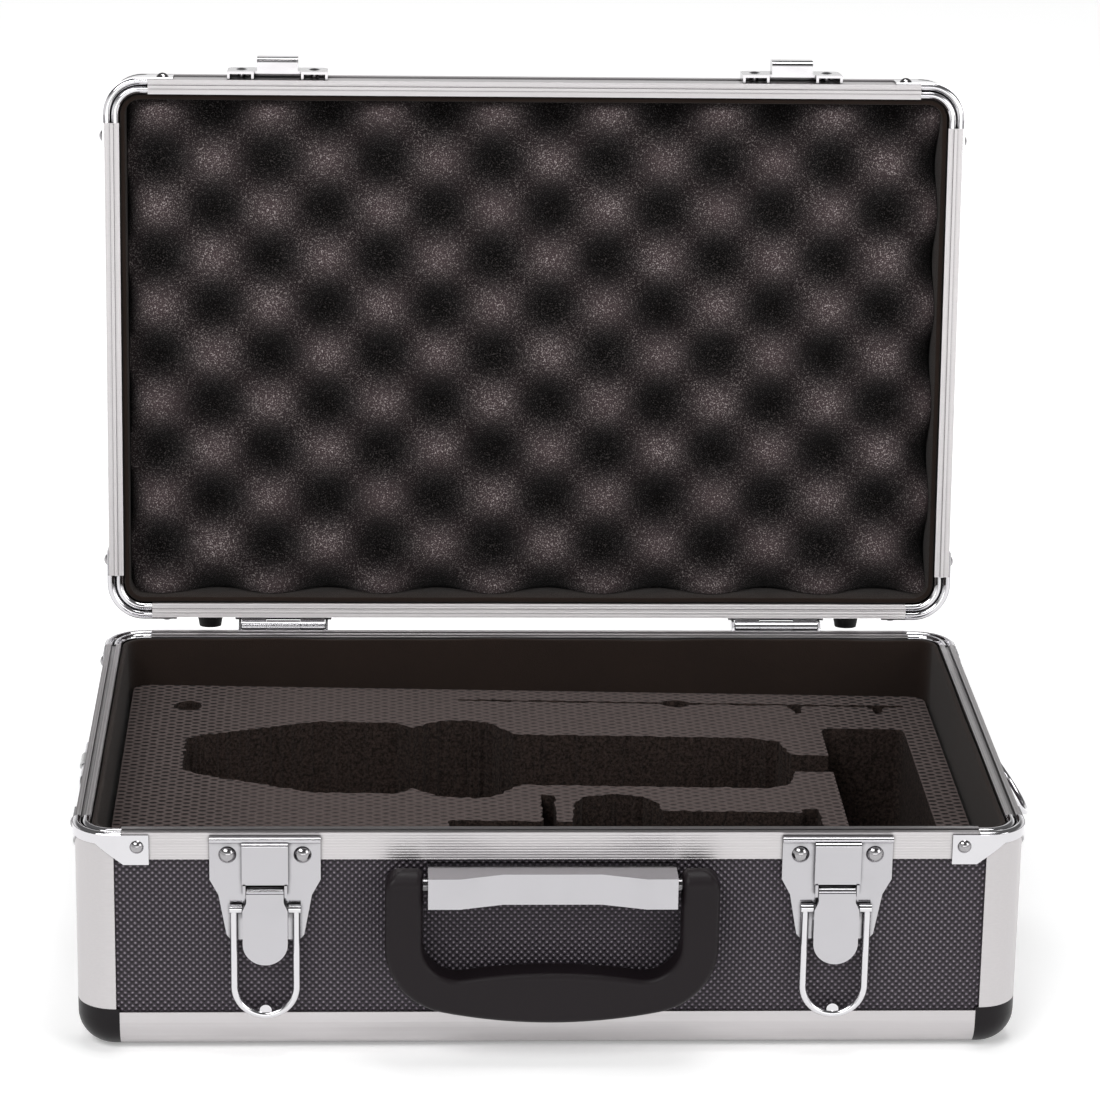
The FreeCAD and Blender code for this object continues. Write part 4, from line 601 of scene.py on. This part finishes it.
def move(offset):
    bpy.ops.transform.translate(value=offset)


def extrude(offset):
    bpy.ops.mesh.extrude_region_move(TRANSFORM_OT_translate={"value": offset})


def add_modifier(piece, kind, **settings):
    only(piece)
    modifier = piece.modifiers.new(kind.lower(), kind)
    for key, value in settings.items():
        setattr(modifier, key, value)
    bpy.ops.object.modifier_apply(modifier=modifier.name)


def trace(name, corners, level):
    """Draws a closed outline by hand: one vertex, extruded from corner to corner, then closed."""
    bpy.ops.object.select_all(action="DESELECT")
    bpy.ops.mesh.primitive_plane_add(size=MM, location=(0, 0, 0))
    piece = bpy.context.object
    piece.name = name
    edit(piece)
    bpy.ops.mesh.select_all(action="SELECT")
    bpy.ops.mesh.merge(type="CENTER")
    points = [Vector((x, y, level)) for x, y in corners]
    move(points[0])
    for start, end in zip(points, points[1:]):
        extrude(end - start)
    pick(piece, "verts", lambda v: len(v.link_edges) == 1)
    bpy.ops.mesh.edge_face_add()
    done()
    return piece


def round_outline(piece, radius, segments=5):
    edit(piece)
    bpy.ops.mesh.select_all(action="SELECT")
    bpy.ops.mesh.bevel(offset=radius, segments=segments, affect="VERTICES")
    done()


def divide_outline(piece, step):
    """Divides every edge of an outline into stretches of about the same length."""
    edit(piece, "EDGE")
    mesh = bmesh.from_edit_mesh(piece.data)
    counts = {round(edge.calc_length() / step) - 1 for edge in mesh.edges}
    for count in sorted(counts):
        if count > 0 and pick(piece, "edges", lambda e: round(e.calc_length() / step) - 1 == count):
            bpy.ops.mesh.subdivide(number_cuts=count)
    done()


def walk_outline(mesh):
    """The outline's vertices in order, as a bmesh hands them out unsorted."""
    mesh.verts.ensure_lookup_table()
    ring = [mesh.verts[0]]
    ahead = ring[0].link_edges[0].other_vert(ring[0])
    while ahead is not ring[0]:
        last = ring[-1]
        ring.append(ahead)
        ahead = next(v for v in (e.other_vert(ahead) for e in ahead.link_edges) if v is not last)
    return ring


def raise_outline(piece, height):
    """Fills an outline and extrudes it into a block."""
    edit(piece)
    bpy.ops.mesh.select_all(action="SELECT")
    bpy.ops.mesh.edge_face_add()
    bpy.ops.mesh.select_mode(type="FACE")
    bpy.ops.mesh.select_all(action="SELECT")
    extrude((0, 0, height))
    bpy.ops.mesh.select_all(action="SELECT")
    bpy.ops.mesh.normals_make_consistent(inside=False)
    done()


def finish_piece(piece, finish, body, replaced=()):
    piece.data.materials.clear()
    piece.data.materials.append(finish)
    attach(piece, body)
    if replaced:
        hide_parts(*replaced)
    print(piece.name, len(piece.data.polygons), "faces")


def turn_with_lid(piece):
    """Swings a piece that was modelled with the lid shut back to the open lid."""
    piece.data.transform(lid_turn)


# %% [markdown]
# The foam block is a soft slab with pockets. It starts as a cube at the size of its space,
# its top tilts down a little to the right, and its upright corners are rounded. Each pocket
# is a block drawn from its outline and taken away with a Boolean.

# %% Foam block
FOAM_CORNER = 6 * MM
foam_low, foam_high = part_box("foam_insert")


def make_slab(name, low, high):
    bpy.ops.object.select_all(action="DESELECT")
    bpy.ops.mesh.primitive_cube_add(size=1, location=(low + high) / 2, scale=high - low)
    piece = bpy.context.object
    piece.name = name
    bpy.ops.object.transform_apply(location=True, rotation=True, scale=True)
    return piece


def round_upright_corners(piece, radius, segments=8):
    edit(piece, "EDGE")
    pick(piece, "edges", lambda e: (e.verts[0].co.xy - e.verts[1].co.xy).length < 0.01 * MM)
    bpy.ops.mesh.bevel(offset=radius, segments=segments, affect="EDGES")
    done()


foam_block = make_slab("foam_block", foam_low, Vector((foam_high.x, foam_high.y, FOAM_TOP_LEFT)))
edit(foam_block)
pick(foam_block, "verts", lambda v: v.co.z > 40 * MM and v.co.x > 0)
move((0, 0, FOAM_TOP_RIGHT - FOAM_TOP_LEFT))
done()
round_upright_corners(foam_block, FOAM_CORNER)
print("foam block", [round(v / MM, 1) for v in foam_high - foam_low])

# %% [markdown]
# A hot wire or a punch cuts these pockets, and its edge catches on the pressed cushions, so
# the outline is finely and unevenly scalloped. The scallops are made on the outline before
# it is extruded: the edges are divided every 1.3 mm and the points swing in and out.

# %% Pocket cutters
SCALLOP_STEP = 2.9 * MM
SCALLOP_DEPTH = 1.1 * MM
OUTLINE_STEP = 1.3 * MM


def scallop(piece):
    """Swings the outline's points in and out, unevenly, as the foam tears at each pit."""
    mesh = bmesh.new()
    mesh.from_mesh(piece.data)
    ring = walk_outline(mesh)
    places = []
    for i, vert in enumerate(ring):
        before, after = ring[i - 1].co, ring[(i + 1) % len(ring)].co
        along = (after - before).normalized()
        coarse = mathutils.noise.noise(vert.co / SCALLOP_STEP)
        fine = mathutils.noise.noise(vert.co / OUTLINE_STEP * 1.7)
        places.append(vert.co + Vector((along.y, -along.x, 0)) * (coarse + 0.6 * fine) * SCALLOP_DEPTH)
    for vert, place in zip(ring, places):
        vert.co = place
    mesh.to_mesh(piece.data)
    mesh.free()


def cut_pocket(name, corners, floor_level, rounding=0.0, scalloped=True):
    cutter = trace(name, [(x * MM, y * MM) for x, y in corners], floor_level)
    if rounding:
        round_outline(cutter, rounding * MM)
    if scalloped:
        divide_outline(cutter, OUTLINE_STEP)
        scallop(cutter)
    raise_outline(cutter, mating - floor_level)
    add_modifier(foam_block, "BOOLEAN", object=cutter, operation="DIFFERENCE", solver="EXACT")
    bpy.data.objects.remove(cutter)
    print("pocket", name, "leaves", len(foam_block.data.polygons), "faces")


pocket_floor = foam_low.z + 16 * MM
through_floor = foam_low.z - 1 * MM
TOOL_ROW = 23

# %% [markdown]
# The long pocket fits a tool with a pointed head, a round collar and a straight shaft. It
# is the same on both sides of its middle line, so one side is written and mirrored.

# %% Long tool pocket
def arc(start, end, bulge, steps=8):
    """Points of an arc that leaves the straight line from start to end by bulge."""
    (x0, y0), (x1, y1) = start, end
    span = math.hypot(x1 - x0, y1 - y0)
    radius = (span * span / 4 + bulge * bulge) / (2 * bulge)
    half_turn = math.asin(span / 2 / radius)
    middle = ((x0 + x1) / 2, (y0 + y1) / 2 + bulge - radius)
    points = []
    for i in range(steps + 1):
        angle = half_turn * (2 * i / steps - 1)
        points.append((middle[0] + radius * math.sin(angle), middle[1] + radius * math.cos(angle)))
    return points


tool_side = [(-136.5, 15.5), (-132, 20), (-86.5, 38), (-54.5, 38), (-48.5, 32)]
tool_side += arc((-40.5, 39), (-17.5, 39), 2.7)
tool_side += [(-11.5, 32), (-7.5, 27), (86.5, 27), (95, 23.5), (98.5, 15), (98.5, 9), (116, 9)]
tool_outline = [(x, TOOL_ROW - y) for x, y in tool_side]
tool_outline += [(x, TOOL_ROW + y) for x, y in reversed(tool_side)]
cut_pocket("tool_pocket", tool_outline, pocket_floor, 1.2)

# %% [markdown]
# The box pocket goes right through the block, so the floor pad shows at its bottom.

# %% Box pocket and small pocket
cut_pocket("box_pocket", [(114, -74), (147, -74), (147, 62), (114, 62)], through_floor, 4, False)
small_corners = [
    (-36, -84), (104.5, -84), (104.5, -25), (97.5, -25), (97.5, -28.5), (45, -28.5), (44, -21),
    (38, -14.5), (28, -12), (18, -14.5), (12, -21), (11, -41), (5, -41), (5, -14), (-0.5, -14),
    (-0.5, -41), (-36, -41),
]
cut_pocket("small_pocket", small_corners, pocket_floor, 1.2)

# %% [markdown]
# A finger hole lets the block be lifted. A slit with an eye and two notches holds a cable.

# %% Finger hole and slit
def ring_of_points(centre, radius, count=18):
    turn = 2 * math.pi / count
    return [(centre[0] + radius * math.cos(i * turn), centre[1] + radius * math.sin(i * turn)) for i in range(count)]


hole_floor = FOAM_TOP_RIGHT - 18 * MM
cut_pocket("finger_hole", ring_of_points((-137, 77), 5.4), hole_floor)
cut_pocket("cable_slit", [(-30, 87.1), (150, 87.1), (150, 88.9), (-30, 88.9)], hole_floor)
cable_eye = [(51, 88), (54, 84.6), (58, 83.4), (62, 84.6), (65, 88), (62, 90.6), (58, 91.6), (54, 90.6)]
cut_pocket("cable_eye", cable_eye, hole_floor, 1, False)
cut_pocket("left_notch", [(102, 88.2), (109, 88.2), (108, 79), (105.5, 78)], hole_floor, 0.8)
cut_pocket("right_notch", [(135.5, 88.2), (142.5, 88.2), (140.5, 80), (138, 79)], hole_floor, 0.8)
finish_piece(foam_block, cut_foam, "base", ["foam_insert"])

# %% [markdown]
# Under the block lies a thin floor pad. It shows only at the bottom of the box pocket. Its
# edge is rounded over.

# %% Floor pad
pad_low, pad_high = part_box("foam_floor_pad")
floor_pad = make_slab("floor_pad", pad_low, pad_high)
round_upright_corners(floor_pad, FOAM_CORNER)
add_modifier(floor_pad, "BEVEL", width=1.2 * MM, segments=3, limit_method="ANGLE")
finish_piece(floor_pad, cut_foam, "base", ["foam_floor_pad"])

# %% [markdown]
# The egg-crate pad in the lid is cut by two rollers, so hills and hollows alternate like
# the squares of a chess board. The surface is a product of two cosines. A fine grid is
# laid on the foam's space and its points are lifted by that formula; then the rim is
# extruded back to the lid and closed.

# %% Egg-crate pad
HILL_STEP_X = 22.35 * MM
HILL_STEP_Y = 19.65 * MM
HILL_X = -15.3 * MM
HILL_Y = -56.2 * MM
HILL_HEIGHT = 6.2 * MM
LID_FOAM_DEPTH = 24 * MM
LID_HEIGHT = 34.5 * MM
WALL = 5.8 * MM
LINING_GAP = 0.3 * MM
LINING = 2.0 * MM
SOFT_GAP = 0.3 * MM
LINING_CORNER = 7.9 * MM

lid_top = lid_mating + LID_HEIGHT
crate_back = lid_top - WALL - LINING_GAP
crate_face = crate_back - LID_FOAM_DEPTH
crate_half_x = half_width - WALL - LINING_GAP - LINING - SOFT_GAP
crate_half_y = half_depth - WALL - LINING_GAP - LINING - SOFT_GAP


def hill(x, y):
    """How far the foam's surface lies behind its highest level."""
    wave = math.cos(math.pi * (x - HILL_X) / HILL_STEP_X) * math.cos(math.pi * (y - HILL_Y) / HILL_STEP_Y)
    return HILL_HEIGHT * (1 - wave)


bpy.ops.object.select_all(action="DESELECT")
bpy.ops.mesh.primitive_grid_add(x_subdivisions=180, y_subdivisions=112, size=1, location=(0, 0, crate_face))
egg_crate = bpy.context.object
egg_crate.name = "egg_crate_pad"
egg_crate.scale = (2 * crate_half_x, 2 * crate_half_y, 1)
bpy.ops.object.transform_apply(location=True, rotation=True, scale=True)
# Each point keeps how deep it lies in a hollow, for the painted light and shade of the foam.
hollow = egg_crate.data.attributes.new("hollow", "FLOAT", "POINT")
for vert in egg_crate.data.vertices:
    hollow.data[vert.index].value = hill(vert.co.x, vert.co.y) / (2 * HILL_HEIGHT)
    edge_in = min(crate_half_x - abs(vert.co.x), crate_half_y - abs(vert.co.y))
    rolled = max(0, 1 - edge_in / (5 * MM)) ** 2 * 3 * MM
    vert.co.z = min(crate_back - 2 * MM, crate_face + hill(vert.co.x, vert.co.y) + rolled)
edit(egg_crate, "EDGE")
bpy.ops.mesh.select_all(action="SELECT")
bpy.ops.mesh.region_to_loop()
extrude((0, 0, 2 * MM))
bpy.ops.transform.resize(value=(1, 1, 0), center_override=(0, 0, crate_back))
bpy.ops.mesh.edge_face_add()
bpy.ops.mesh.select_all(action="SELECT")
bpy.ops.mesh.normals_make_consistent(inside=False)
done()
bpy.ops.object.shade_smooth_by_angle(angle=math.radians(50))
turn_with_lid(egg_crate)
finish_piece(egg_crate, egg_foam, "lid", ["lid_foam"])

# %% [markdown]
# The linings are strips of felt glued round the walls. A strip is never quite even, so its
# lip waves up and down by half a millimetre. The ring is traced once
# outside, extruded up, given its thickness with Solidify, and its lip is rounded.

# %% Wall linings
LIP_STEP = 6 * MM


def make_lining(name, low_level, high_level, wave):
    depth = WALL + LINING_GAP
    x, y = half_width - depth, half_depth - depth
    piece = trace(name, [(-x, -y), (x, -y), (x, y), (-x, y)], low_level)
    round_outline(piece, LINING_CORNER, 8)
    divide_outline(piece, LIP_STEP)
    edit(piece, "EDGE")
    bpy.ops.mesh.select_all(action="SELECT")
    half_rise = (high_level - low_level) / 2
    extrude((0, 0, half_rise))
    extrude((0, 0, half_rise))
    bpy.ops.mesh.select_all(action="SELECT")
    bpy.ops.mesh.normals_make_consistent(inside=False)
    done()
    sense = math.copysign(1, half_rise)
    for vert in piece.data.vertices:
        if abs(vert.co.z - high_level) < 0.1 * MM:
            swing = math.sin(vert.co.x * 61 + vert.co.y * 83) + 0.6 * math.sin(vert.co.x * 143 - vert.co.y * 37 + 1)
            vert.co.z += wave * (swing - 1.6 * sense)
    add_modifier(piece, "SOLIDIFY", thickness=LINING, offset=-1)
    add_modifier(piece, "BEVEL", width=0.6 * MM, segments=2, limit_method="ANGLE", angle_limit=math.radians(60))
    only(piece)
    bpy.ops.object.shade_smooth_by_angle(angle=math.radians(50))
    return piece


base_felt = make_lining("base_felt", WALL + LINING_GAP, mating - 1 * MM, 0.22 * MM)
finish_piece(base_felt, lining_felt, "base", ["base_lining"])
lid_felt = make_lining("lid_felt", crate_back, lid_mating + 1 * MM, 0.25 * MM)
turn_with_lid(lid_felt)
finish_piece(lid_felt, lining_felt, "lid", ["lid_lining"])
